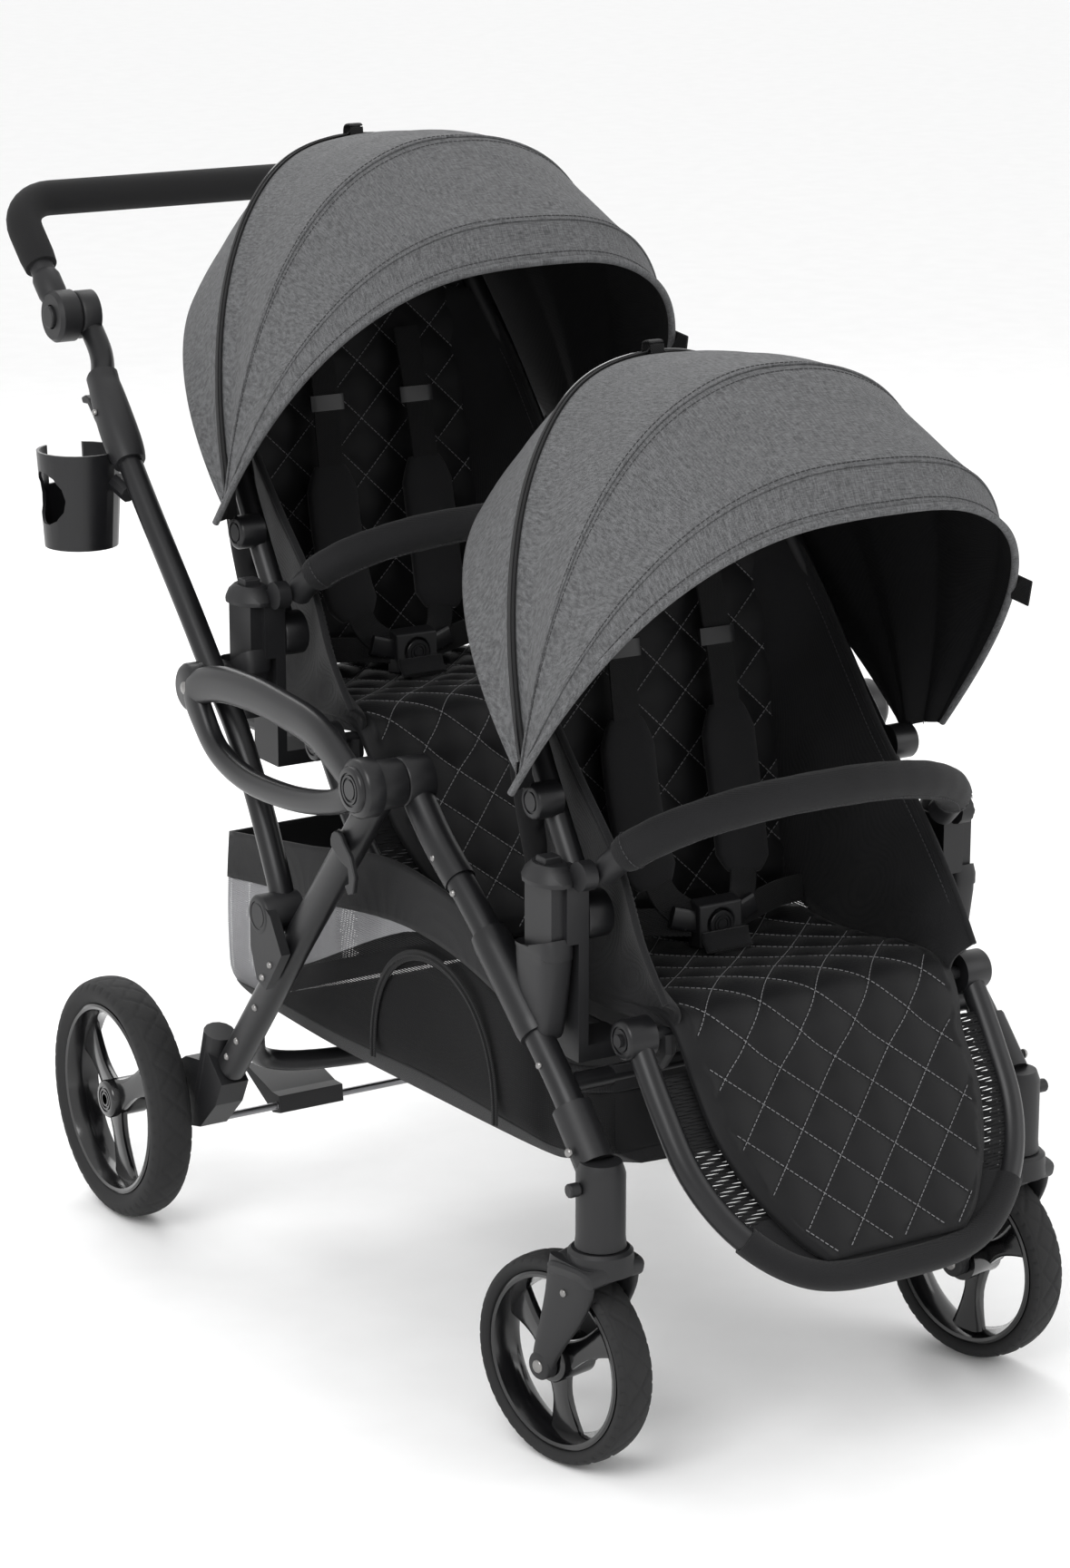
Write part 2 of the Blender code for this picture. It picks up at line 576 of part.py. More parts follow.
def add_seat_frame(seat, shift):
    """Pivot shaft, two rails and a rear bar under the pad, and a post with a dome cap each side."""
    shaft = moved(rod_x(-0.2045, 0.2045, FOOTREST_AXIS, 0.006, 12), shift)
    obj = add(f"{seat}_seat_frame", shaft, "tube", at(shift, FOOTREST_AXIS))
    rear_bar = rod_x(-0.158, 0.158, (-0.236, 0.370), 0.009, 12)
    combine(obj, "UNION", moved(rear_bar, shift))
    for sign in SIDES.values():
        x = sign * 0.152
        rail = [(x, -0.474, 0.400), (x, -0.4745, 0.384), (x, -0.466, 0.3725), (x, -0.440, 0.370),
                (x, -0.230, 0.370)]
        bracket = [(sign * 0.148, 0.364), (sign * 0.2075, 0.364), (sign * 0.2075, 0.476),
                   (sign * 0.2200, 0.476), (sign * 0.2200, 0.532), (sign * 0.1970, 0.532),
                   (sign * 0.1970, 0.379), (sign * 0.148, 0.379)]
        post = span(sign, 0.2138, 0.2332)
        dome = span(sign, 0.1990, 0.2440)
        lug = span(sign, 0.2010, 0.2145)
        combine(obj, "UNION",
                moved(shape(sweep, rail, 0.009, (1, 0, 0), 10), shift),
                moved(shape(prism, bracket, "Y", -0.416, -0.366), shift),
                moved(shape(box, (post[0], -0.4107, 0.4465), (post[1], -0.3653, 0.535)), shift),
                moved(shape(dome_cap, dome), shift),
                moved(shape(prism, circle(BUMPER_AXIS, 0.014, 12), "X", *lug), shift),
                moved(shape(box, (lug[0], -0.430, 0.530), (lug[1], -0.390, 0.545)), shift))
        pocket = shape(box, (sign * 0.2220 - 0.0095, -0.3965, 0.5425), (sign * 0.2220 + 0.0095, -0.3795, 0.5600))
        combine(obj, "DIFFERENCE", moved(pocket, shift))


def dome_cap(bm, reach):
    """Low rounded cap over a post, reach is its two x values."""
    middle = (reach[0] + reach[1]) / 2
    half = (reach[1] - reach[0]) / 2
    rings = []
    for z, scale in ((0.5300, 0.98), (0.5340, 1.0), (0.5420, 0.86), (0.5480, 0.62)):
        rings.append([bm.verts.new((middle + half * scale * math.cos(a),
                                    -0.388 + 0.032 * scale * math.sin(a), z))
                      for a in (2 * math.pi * j / 14 for j in range(14))])
    bridge(bm, rings, False)


def add_release_button(seat, side, sign, shift):
    x = sign * 0.2220
    button = shape(box, (x - 0.009, -0.396, 0.5463), (x + 0.009, -0.380, 0.5540))
    add(f"{seat}_seat_release_{side}", moved(button, shift), "plastic", at(shift, (-0.388, 0.5463), x))


def add_seat_pad(seat, shift):
    """Seat cushion with its two fabric sides, lofted from U-shaped sections."""
    bm = bmesh.new()
    rings = []
    for y, top, wall_top in ((-0.4555, 0.420, 0.430), (-0.420, 0.416, 0.492), (-0.370, 0.412, 0.520),
                             (-0.262, 0.404, 0.530)):
        half = [(0.150, 0.3845), (0.168, 0.400), (0.168, wall_top), (0.156, wall_top), (0.144, top)]
        ring = [(-x, y, z) for x, z in half] + [(x, y, z) for x, z in reversed(half)]
        rings.append([bm.verts.new(p) for p in ring])
    bridge(bm, rings, False)
    add(f"{seat}_seat_pad", moved(bm, shift), "seat_fabric", at(shift, (-0.4555, 0.3845)))


def add_seat_back(seat, shift):
    """Padded back on two side tubes that turn about the discs beside the posts."""
    bm = bmesh.new()
    rings = []
    for y, z, half in ((-0.238, 0.500, 0.150), (-0.234, 0.560, 0.158), (-0.214, 0.700, 0.162),
                       (-0.203, 0.770, 0.156), (-0.194, 0.838, 0.118)):
        ring = [(-half, y + 0.004, z), (-half * 0.8, y, z), (half * 0.8, y, z), (half, y + 0.004, z),
                (half, y + 0.026, z), (half * 0.8, y + 0.034, z), (-half * 0.8, y + 0.034, z),
                (-half, y + 0.026, z)]
        rings.append([bm.verts.new(p) for p in ring])
    bridge(bm, rings, False)
    obj = add(f"{seat}_seat_back", moved(bm, shift), "seat_fabric", at(shift, RECLINE_AXIS))
    for sign in SIDES.values():
        low, high = span(sign, 0.1700, 0.1960)
        tube = smooth_path([(sign * 0.182, -0.388, 0.506), (sign * 0.182, -0.340, 0.578),
                            (sign * 0.174, -0.270, 0.645), (sign * 0.150, -0.216, 0.720)], 2)
        combine(obj, "UNION",
                moved(rod_x(low, high, RECLINE_AXIS, 0.020, 18), shift),
                moved(shape(sweep, tube, 0.0115, (1, 0, 0), 10), shift))


def add_footrest(seat, shift):
    """Rounded U tube below the seat's front edge, turning on the frame's pivot shaft."""
    def on_plane(x, s):
        return (x, FOOTREST_AXIS[0] - s * math.cos(FOOTREST_DROP),
                FOOTREST_AXIS[1] - s * math.sin(FOOTREST_DROP))
    half = [(0.184, 0.010), (0.183, 0.070), (0.178, 0.128), (0.161, 0.175), (0.134, 0.212),
            (0.100, 0.238), (0.060, 0.250), (0.0, 0.2525)]
    path = [on_plane(-x, s) for x, s in half] + [on_plane(x, s) for x, s in reversed(half[:-1])]
    normal = (0, -math.sin(FOOTREST_DROP), math.cos(FOOTREST_DROP))
    obj = add(f"{seat}_footrest", moved(shape(sweep, path, 0.0115, normal, 10), shift), "tube",
              at(shift, FOOTREST_AXIS))
    for sign in SIDES.values():
        low, high = span(sign, 0.1715, 0.2000)
        disc = moved(rod_x(low, high, FOOTREST_AXIS, 0.0185, 18), shift)
        hole_low, hole_high = span(sign, 0.1600, 0.2100)
        hole = moved(rod_x(hole_low, hole_high, FOOTREST_AXIS, 0.0065, 12), shift)
        combine(obj, "UNION", disc)
        combine(obj, "DIFFERENCE", hole)


def add_legrest_pad(seat, shift):
    """Quilted pad hung inside the footrest's U."""
    bm = bmesh.new()
    along = Vector((0, -math.cos(FOOTREST_DROP), -math.sin(FOOTREST_DROP)))
    out = Vector((0, -math.sin(FOOTREST_DROP), math.cos(FOOTREST_DROP)))
    start = Vector((0, *FOOTREST_AXIS))
    rings = []
    for s, half in ((0.022, 0.138), (0.120, 0.138), (0.195, 0.104), (0.226, 0.074)):
        ring = []
        for x, n in ((-half, -0.006), (half, -0.006), (half, 0.010), (half * 0.8, 0.016),
                     (-half * 0.8, 0.016), (-half, 0.010)):
            ring.append(bm.verts.new(start + along * s + out * n + Vector((x, 0, 0))))
        rings.append(ring)
    bridge(bm, rings, False)
    add(f"{seat}_legrest_pad", moved(bm, shift), "seat_fabric", at(shift, FOOTREST_AXIS))


def add_bumper_bar(seat, shift):
    """Padded bar in front of the child, hinged at its two ends."""
    path, radii = [], []
    steps = 16
    for i in range(steps + 1):
        a = math.pi * i / steps
        x = -0.186 * math.copysign(abs(math.cos(a)) ** (2 / 2.3), math.cos(a))
        reach = 0.100 * math.sin(a) ** (2 / 2.3) if 0 < i < steps else 0.0
        path.append((x, BUMPER_AXIS[0] - reach * math.cos(BUMPER_RISE),
                     BUMPER_AXIS[1] + reach * math.sin(BUMPER_RISE)))
        radii.append(0.0135 if i in (0, steps) else 0.0178)
    normal = (0, math.sin(BUMPER_RISE), math.cos(BUMPER_RISE))
    bar = moved(shape(sweep, path, radii, normal, 10), shift)
    add(f"{seat}_bumper_bar", bar, "foam", at(shift, BUMPER_AXIS))


def canopy_shell(bm, first, last, grow, spans):
    """Thin shell turned about the canopy axis between two angles; grow widens it."""
    steps = 14
    start = math.radians(8)

    def vertex(i, angle, inset):
        t = start + (math.pi - 2 * start) * i / steps
        power = 2 / CANOPY_POWER
        x = -(CANOPY_HALF_WIDTH + grow - inset) * math.copysign(abs(math.cos(t)) ** power, math.cos(t))
        s = (CANOPY_REACH + grow - inset) * math.sin(t) ** power
        return bm.verts.new((x, CANOPY_AXIS[0] - s * math.cos(angle), CANOPY_AXIS[1] + s * math.sin(angle)))
    angles = [math.radians(first + (last - first) * k / spans) for k in range(spans + 1)]
    rings = []
    for angle in angles:
        outer = [vertex(i, angle, 0) for i in range(steps + 1)]
        inner = [vertex(i, angle, 0.004) for i in range(steps + 1)]
        rings.append(outer + inner[::-1])
    bridge(bm, rings, False)


def add_canopy(seat, shift):
    """Fixed rear part over the seat back, and the hood that swings back outside it."""
    rear = moved(shape(canopy_shell, 140, 84, 0.0, 5), shift)
    hood = moved(shape(canopy_shell, 86, 46, 0.0065, 4), shift)
    for name, bm in ((f"{seat}_canopy_rear", rear), (f"{seat}_canopy_hood", hood)):
        add(name, bm, "canopy_fabric", at(shift, CANOPY_AXIS))


def add_buckle(seat, shift):
    """Harness buckle on the crotch strap, with its round release button."""
    body = [(-0.338, 0.4195), (-0.336, 0.460), (-0.320, 0.464), (-0.316, 0.4160)]
    obj = add(f"{seat}_buckle", moved(shape(prism, body, "X", -0.024, 0.024), shift), "plastic")
    face = -0.3372
    pocket = cylinder_y(face - 0.006, face + 0.005, 0.0145)
    combine(obj, "DIFFERENCE", moved(pocket, shift))
    button = cylinder_y(face - 0.0015, face + 0.0020, 0.0140)
    add(f"{seat}_buckle_button", moved(button, shift), "plastic", at(shift, (face, 0.440)))


def cylinder_y(low, high, radius):
    outline = circle((0, 0.440), radius, 16)
    return shape(prism, outline, "Y", low, high)


def add_seat(seat, shift):
    add_seat_frame(seat, shift)
    add_seat_pad(seat, shift)
    add_seat_back(seat, shift)
    add_footrest(seat, shift)
    add_legrest_pad(seat, shift)
    add_bumper_bar(seat, shift)
    add_canopy(seat, shift)
    add_buckle(seat, shift)
    for side, sign in SIDES.items():
        add_release_button(seat, side, sign, shift)


def main():
    clear_scene()
    add_front_frame()
    add_rear_frame()
    add_brake_pedal()
    add_latch()
    add_handle()
    add_cup_holder()
    add_basket()
    for side, sign in SIDES.items():
        add_side_arm(side, sign)
        add_push_tube(side, sign)
        add_sockets(side, sign)
        add_axle_bracket(side, sign)
        add_rear_wheel(side, sign)
        add_caster(side, sign)
        add_caster_housing(side, sign)
        add_handle_button(side, sign)
        add_fold_trigger(side, sign)
    add_seat("front", Vector((0, 0, 0)))
    add_seat("rear", SEAT_STEP)


main()
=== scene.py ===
"""Looks of the tandem double stroller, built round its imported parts. Metres, +Z up, it faces -Y."""
from math import copysign, cos, pi, radians, sin

import bmesh
import bpy
from mathutils import Matrix, Vector


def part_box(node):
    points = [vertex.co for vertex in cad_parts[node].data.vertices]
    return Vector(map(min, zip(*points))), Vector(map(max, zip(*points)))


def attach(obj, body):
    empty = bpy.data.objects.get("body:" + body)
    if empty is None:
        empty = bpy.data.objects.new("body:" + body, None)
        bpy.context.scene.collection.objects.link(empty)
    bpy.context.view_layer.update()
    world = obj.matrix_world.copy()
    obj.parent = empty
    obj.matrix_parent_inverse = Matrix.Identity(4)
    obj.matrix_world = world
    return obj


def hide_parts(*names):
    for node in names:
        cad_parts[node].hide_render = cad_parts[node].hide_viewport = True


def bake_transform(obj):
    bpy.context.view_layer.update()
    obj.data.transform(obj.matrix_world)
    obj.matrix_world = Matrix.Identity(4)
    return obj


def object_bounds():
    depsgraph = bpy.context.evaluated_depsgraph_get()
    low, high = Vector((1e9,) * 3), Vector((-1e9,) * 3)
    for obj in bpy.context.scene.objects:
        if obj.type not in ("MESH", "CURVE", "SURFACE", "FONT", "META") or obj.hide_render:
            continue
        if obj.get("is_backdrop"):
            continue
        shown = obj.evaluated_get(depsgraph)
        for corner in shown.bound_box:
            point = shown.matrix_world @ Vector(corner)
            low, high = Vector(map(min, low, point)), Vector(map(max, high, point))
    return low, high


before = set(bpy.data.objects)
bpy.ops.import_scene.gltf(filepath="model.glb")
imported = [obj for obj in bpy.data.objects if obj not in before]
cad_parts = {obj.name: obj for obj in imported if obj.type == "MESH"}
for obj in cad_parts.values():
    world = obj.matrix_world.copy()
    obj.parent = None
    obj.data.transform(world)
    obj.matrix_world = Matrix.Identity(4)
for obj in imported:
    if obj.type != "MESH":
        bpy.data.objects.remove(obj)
cad_box = [list(corner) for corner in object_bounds()]

# ---- places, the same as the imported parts' ----
SIDES = {"right": -1, "left": 1}
SEATS = {"front": Vector((0, 0, 0)), "rear": Vector((0, 0.5625, 0.1454))}
HUB = (-0.166, 0.573)
ARM_REAR = (0.177, 0.596)
ARM_X = 0.2868
FRONT_LEG_X = 0.232
REAR_LEG_X = 0.262
HANDLE_HUB = (0.503, 0.920)
GRIP = (0.616, 1.027)
HANDLE_X = 0.262
CASTER = (0.232, -0.492)
CASTER_TURN = radians(11)
CASTER_TRAIL = 0.046
FORK_TOP = 0.2195
CANOPY_AXIS = (-0.340, 0.590)
FOOTREST_AXIS = (-0.474, 0.401)
FOOTREST_DROP = radians(53.8)
BUMPER_AXIS = (-0.425, 0.542)
BUMPER_RISE = radians(42)
FOOT_DISC = (0.0435, 0.3945)
RECLINE_AXIS = (-0.395, 0.495)
BRAKE_ROD = (0.196, 0.132)
REAR_AXLE = (0.320, 0.127)
REAR_TRACK = 0.3065
REAR_WHEEL = (0.127, 0.045, 0.102)              # radius, width and radius of the rim
FRONT_WHEEL = (0.099, 0.040, 0.085)
QUILT = 0.060                                   # spacing of the quilt's crossing lines
BOWS = (50.0, 56.5, 78.0, 109.0, 140.0)         # canopy seams, degrees up from straight ahead
BOW_REACH = (0.366, 0.380, 0.391, 0.391, 0.372)
ZIP = BOWS[3]
BACK_BEND = (("seat", "back"), (-0.30, 0.45), (-0.25, 0.57))      # where the back's cloth bends


# ---- materials ----
def material(name, color, roughness, metallic=0.0, grain=900.0, bump=0.05, vary=0.12, coat=0.0,
             shine=0.4, sheen=0.0, weave=None, flecks=None, holes=None, ribs=None):
    """Procedural material: grain, colour variation and, for cloth, a weave, flecks, ribs or holes."""
    mat = bpy.data.materials.new(name)
    mat.use_nodes = True
    nodes, links = mat.node_tree.nodes, mat.node_tree.links
    shader = nodes["Principled BSDF"]
    shader.inputs["Metallic"].default_value = metallic
    shader.inputs["Coat Weight"].default_value = coat
    shader.inputs["Specular IOR Level"].default_value = 0.16 if weave or ribs or holes else shine
    shader.inputs["Coat Roughness"].default_value = 0.15
    shader.inputs["Sheen Weight"].default_value = sheen
    shader.inputs["Sheen Roughness"].default_value = 0.5
    where = nodes.new("ShaderNodeTexCoord").outputs["Object"]

    def noise(scale, detail=3.0, stretch=None):
        source = where
        if stretch:
            mapping = nodes.new("ShaderNodeMapping")
            mapping.inputs["Scale"].default_value = stretch
            links.new(where, mapping.inputs["Vector"])
            source = mapping.outputs["Vector"]
        node = nodes.new("ShaderNodeTexNoise")
        node.inputs["Scale"].default_value = scale
        node.inputs["Detail"].default_value = detail
        links.new(source, node.inputs["Vector"])
        return node.outputs["Fac"]

    def wave(scale, direction):
        node = nodes.new("ShaderNodeTexWave")
        node.bands_direction = direction
        node.inputs["Scale"].default_value = scale
        node.inputs["Distortion"].default_value = 0.6
        links.new(where, node.inputs["Vector"])
        return node.outputs["Fac"]

    def math_node(operation, a, b):
        node = nodes.new("ShaderNodeMath")
        node.operation = operation
        for socket, value in zip(node.inputs, (a, b)):
            if isinstance(value, float):
                socket.default_value = value
            else:
                links.new(value, socket)
        return node.outputs[0]

    def ramp(value, low, high, first, last):
        node = nodes.new("ShaderNodeValToRGB")
        node.color_ramp.elements[0].position = low
        node.color_ramp.elements[1].position = high
        node.color_ramp.elements[0].color = (*first, 1)
        node.color_ramp.elements[1].color = (*last, 1)
        links.new(value, node.inputs["Fac"])
        return node.outputs["Color"]

    patches = noise(14.0, 4.0)
    tone = patches
    if flecks:
        lengthwise = noise(1.0, 2.0, (flecks, flecks * 0.12, flecks * 0.12))
        crosswise = noise(1.0, 2.0, (flecks * 0.12, flecks, flecks))
        tone = math_node("MULTIPLY", math_node("ADD", lengthwise, crosswise), 0.5)
    dark = [c * (1 - vary) for c in color]
    light = [c * (1 + vary) for c in color]
    links.new(ramp(tone, 0.36, 0.64, dark, light), shader.inputs["Base Color"])
    rough = nodes.new("ShaderNodeMapRange")
    rough.inputs["To Min"].default_value = max(0.02, roughness - 0.07)
    rough.inputs["To Max"].default_value = min(1.0, roughness + 0.07)
    links.new(patches, rough.inputs["Value"])
    links.new(rough.outputs["Result"], shader.inputs["Roughness"])
    height = noise(grain, 2.0)
    if weave:
        threads = math_node("MAXIMUM", wave(weave, "X"), wave(weave, "Z"))
        height = math_node("ADD", threads, height)
    if ribs:
        height = math_node("ADD", wave(ribs, "DIAGONAL"), height)
    relief = nodes.new("ShaderNodeBump")
    relief.inputs["Strength"].default_value = bump
    relief.inputs["Distance"].default_value = 0.001
    links.new(height, relief.inputs["Height"])
    links.new(relief.outputs["Normal"], shader.inputs["Normal"])
    if holes:
        pattern = math_node("MAXIMUM", wave(holes, "Y"), wave(holes, "Z"))
        links.new(math_node("GREATER_THAN", pattern, 0.62), shader.inputs["Alpha"])
    return mat


TUBE = material("satin_frame", (0.009, 0.009, 0.010), 0.36, 0.2, 1400, 0.06)
PLASTIC = material("moulded_plastic", (0.0085, 0.0085, 0.0095), 0.50, 0.0, 1800, 0.12)
ARM = material("satin_plastic", (0.0075, 0.0075, 0.0085), 0.34, 0.0, 1500, 0.06)
GLOSS = material("gloss_rim", (0.004, 0.004, 0.0045), 0.16, 0.0, 300, 0.02, coat=0.5)
RUBBER = material("tyre_rubber", (0.0125, 0.0125, 0.013), 0.80, 0.0, 700, 0.25)
FOAM = material("grip_foam", (0.006, 0.006, 0.0065), 0.92, 0.0, 1600, 0.5)
STEEL = material("steel", (0.26, 0.255, 0.25), 0.32, 1.0, 600, 0.04)
ZINC = material("zinc_rod", (0.30, 0.30, 0.31), 0.36, 1.0, 500, 0.06)
SATEEN = material("quilted_cloth", (0.0050, 0.0050, 0.0056), 0.50, 0.0, 1200, 0.2, sheen=0.05, weave=420)
WEAVE = material("seat_cloth", (0.0080, 0.0080, 0.0088), 0.72, 0.0, 1000, 0.4, sheen=0.08, weave=300)
MELANGE = material("canopy_cloth", (0.098, 0.099, 0.102), 0.88, 0.0, 900, 0.45, vary=0.46, sheen=0.05,
                   weave=330, flecks=1050)
LINING = material("lining_cloth", (0.005, 0.005, 0.0055), 0.80, 0.0, 900, 0.3, weave=300)
WEBBING = material("webbing", (0.0065, 0.0065, 0.007), 0.60, 0.0, 900, 0.5, sheen=0.05, ribs=260)
THREAD = material("thread", (0.16, 0.16, 0.165), 0.7, 0.0, 1500, 0.2)
DARK_THREAD = material("dark_thread", (0.035, 0.035, 0.037), 0.7, 0.0, 1500, 0.2)
MESH = material("black_mesh", (0.008, 0.008, 0.0085), 0.7, 0.0, 900, 0.2, holes=150)
PALE_MESH = material("pale_mesh", (0.30, 0.30, 0.31), 0.7, 0.0, 900, 0.2, holes=150)


# ---- mesh helpers ----
def finish_piece(name, bm, mat, body=None, replaces=(), place=None, angle=40, outward=True):
    """Turn a bmesh, in the frame's coordinates, into a piece riding on a body."""
    if outward:
        bmesh.ops.recalc_face_normals(bm, faces=bm.faces)
    if place is not None:
        bmesh.ops.transform(bm, matrix=place.inverted(), verts=bm.verts)
    mesh = bpy.data.meshes.new(name)
    bm.to_mesh(mesh)
    bm.free()
    for one in mat if isinstance(mat, (list, tuple)) else [mat]:
        mesh.materials.append(one)
    mesh.shade_smooth()
    mesh.set_sharp_from_angle(angle=radians(angle))
    obj = bpy.data.objects.new(name, mesh)
    if place is not None:
        obj.matrix_world = place
    bpy.context.scene.collection.objects.link(obj)
    if body:
        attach(obj, body)
    if replaces:
        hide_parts(*replaces)
    return obj


def skin(bm, rings, closed=False):
    """Faces between rings of vertices, with capped ends unless the last ring joins the first."""
    count = len(rings[0])
    for i in range(len(rings) if closed else len(rings) - 1):
        low, high = rings[i], rings[(i + 1) % len(rings)]
        for j in range(count):
            k = (j + 1) % count
            bm.faces.new((low[j], low[k], high[k], high[j]))
    if not closed:
        bm.faces.new(reversed(rings[0]))
        bm.faces.new(rings[-1])


def curve(points, per_span=6):
    """Catmull-Rom curve; each point may carry extra values after its place."""
    pts = [Vector(p) for p in points]
    out = []
    for i in range(len(pts) - 1):
        p0, p1, p2, p3 = pts[max(i - 1, 0)], pts[i], pts[i + 1], pts[min(i + 2, len(pts) - 1)]
        for j in range(per_span):
            t = j / per_span
            out.append(0.5 * (2 * p1 + (p2 - p0) * t + (2 * p0 - 5 * p1 + 4 * p2 - p3) * t * t
                              + (3 * p1 - p0 - 3 * p2 + p3) * t ** 3))
    return out + [pts[-1]]


def tube(bm, path, radius, normal=(1, 0, 0), sides=20, closed=False, power=2.0):
    """Sweep a round, oval or squarish section along a path; radius is one, a pair or a list."""
    points = [Vector(p[:3]) for p in path]
    radii = radius if isinstance(radius, list) else [radius] * len(points)
    rings = []
    for i, point in enumerate(points):
        before = points[i - 1] if i or closed else point
        after = points[(i + 1) % len(points)] if i + 1 < len(points) or closed else point
        along = (after - before).normalized()
        up = Vector(normal) - Vector(normal).dot(along) * along
        up.normalize()
        across = along.cross(up)
        wide, high = radii[i] if isinstance(radii[i], tuple) else (radii[i], radii[i])
        ring = []
        for j in range(sides):
            c, s = cos(2 * pi * j / sides), sin(2 * pi * j / sides)
            c, s = [copysign(abs(v) ** (2 / power), v) for v in (c, s)]
            ring.append(bm.verts.new(point + across * wide * c + up * high * s))
        rings.append(ring)
    skin(bm, rings, closed)


def turned(bm, profile, centre, axis="X", segments=48):
    """Turn a closed (radius, height) profile round an axis."""
    rows = []
    for radius, height in profile:
        row = []
        for j in range(1 if radius == 0 else segments):
            a = 2 * pi * j / segments
            u, v = radius * cos(a), radius * sin(a)
            local = {"X": (height, u, v), "Y": (u, height, v), "Z": (u, v, height)}[axis]
            row.append(bm.verts.new(Vector(centre) + Vector(local)))
        rows.append(row)
    for i, row in enumerate(rows):
        other = rows[(i + 1) % len(rows)]
        for j in range(segments):
            k = (j + 1) % segments
            quad = [row[j % len(row)], row[k % len(row)], other[k % len(other)], other[j % len(other)]]
            corners = list(dict.fromkeys(quad))
            if len(corners) > 2:
                bm.faces.new(corners)


def plate(bm, outline, low, high):
    """Extrude a (y, z) outline along X."""
    rings = [[bm.verts.new((x, y, z)) for y, z in outline] for x in (low, high)]
    skin(bm, rings)


def disc(bm, x0, x1, centre, radius, rings=(), edge=0.002):
    """Round cap along X from x0 to its face x1, with ring grooves in the face."""
    out = 1 if x1 > x0 else -1
    profile = [(0, x0), (radius, x0), (radius, x1 - out * edge),
               (radius - edge * 0.4, x1 - out * edge * 0.4), (radius - edge, x1)]
    for ring in rings:
        profile += [(ring + 0.0012, x1), (ring + 0.0008, x1 - out * 0.0014),
                    (ring - 0.0008, x1 - out * 0.0014), (ring - 0.0012, x1)]
    turned(bm, profile + [(0, x1)], (0, *centre))


def grid(bm, rows, flip=False):
    """Open sheet through rows of points."""
    made = [[bm.verts.new(p) for p in row] for row in rows]
    for low, high in zip(made, made[1:]):
        for j in range(len(low) - 1):
            face = (low[j], low[j + 1], high[j + 1], high[j])
            bm.faces.new(reversed(face) if flip else face)


def refine(node, mat, body, width=0.0015, angle=32):
    """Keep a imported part's shape, with its edges rounded and its facets smoothed."""
    bm = bmesh.new()
    bm.from_mesh(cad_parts[node].data)
    bmesh.ops.remove_doubles(bm, verts=bm.verts, dist=0.00002)
    bmesh.ops.dissolve_limit(bm, angle_limit=radians(2), verts=bm.verts, edges=bm.edges)
    obj = finish_piece(f"{node}_fine", bm, mat, body, (node,), angle=angle)
    edge = obj.modifiers.new("edge", "BEVEL")
    edge.width = width
    edge.segments = 3
    edge.limit_method = "ANGLE"
    edge.angle_limit = radians(angle)
    edge.use_clamp_overlap = True
    obj.modifiers.new("shading", "WEIGHTED_NORMAL").keep_sharp = True
    return obj


def rivets(name, places, body, radius=0.0036):
    """Small domed steel heads on both sides; each place is its (x, y, z) on the left."""
    head = ((0, -0.001), (1, -0.001), (1, 0.0006), (0.75, 0.0020), (0.35, 0.0027), (0, 0.0028))
    bm = bmesh.new()
    for sign in SIDES.values():
        for x, y, z in places:
            turned(bm, [(radius * r, sign * (x + h)) for r, h in head], (0, y, z), segments=18)
    finish_piece(name, bm, STEEL, body, angle=60)

def stitches(bm, path, step=0.0052, length=0.0036, radius=0.00045):
    """A row of sewn dashes along a dense path."""
    points = [Vector(p[:3]) for p in path]
    walked = 0.0
    for a, b in zip(points, points[1:]):
        size = (b - a).length
        along = (b - a).normalized()
        while walked < size:
            start = a + along * walked
            side = along.cross(Vector((0.3, 0.5, 0.8))).normalized()
            tube(bm, [start, start + along * length], radius, side, 5)
            walked += step
        walked -= size


def make_sheet(obj, thickness, lining=False):
    """Thicken a cloth."""
    mod = obj.modifiers.new("thickness", "SOLIDIFY")
    mod.thickness = thickness
    mod.offset = -1.0 if lining else 0.0
    if lining:
        mod.material_offset = 1
        mod.material_offset_rim = 0

def moved(points, shift):
    return [Vector(p) + shift for p in points]

def mirrored(points, sign):
    """Points of the left side, on either side."""
    return [(sign * p.x, p.y, p.z) for p in points]

def bend(pieces, row, bodies, start, end, shift):
    """Bake each piece's place into its mesh; nothing is bent. The bodies, and start and end ((y, z) on the
    front seat), are not used.
    """
    for piece in pieces:
        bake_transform(piece)

# ---- wheels ----
def front_wheel_centre(sign):
    """Middle of a front wheel, behind the axis of its turned caster."""
    return Vector((sign * CASTER[0] - sin(CASTER_TURN) * CASTER_TRAIL,
                   CASTER[1] + cos(CASTER_TURN) * CASTER_TRAIL, FRONT_WHEEL[0]))

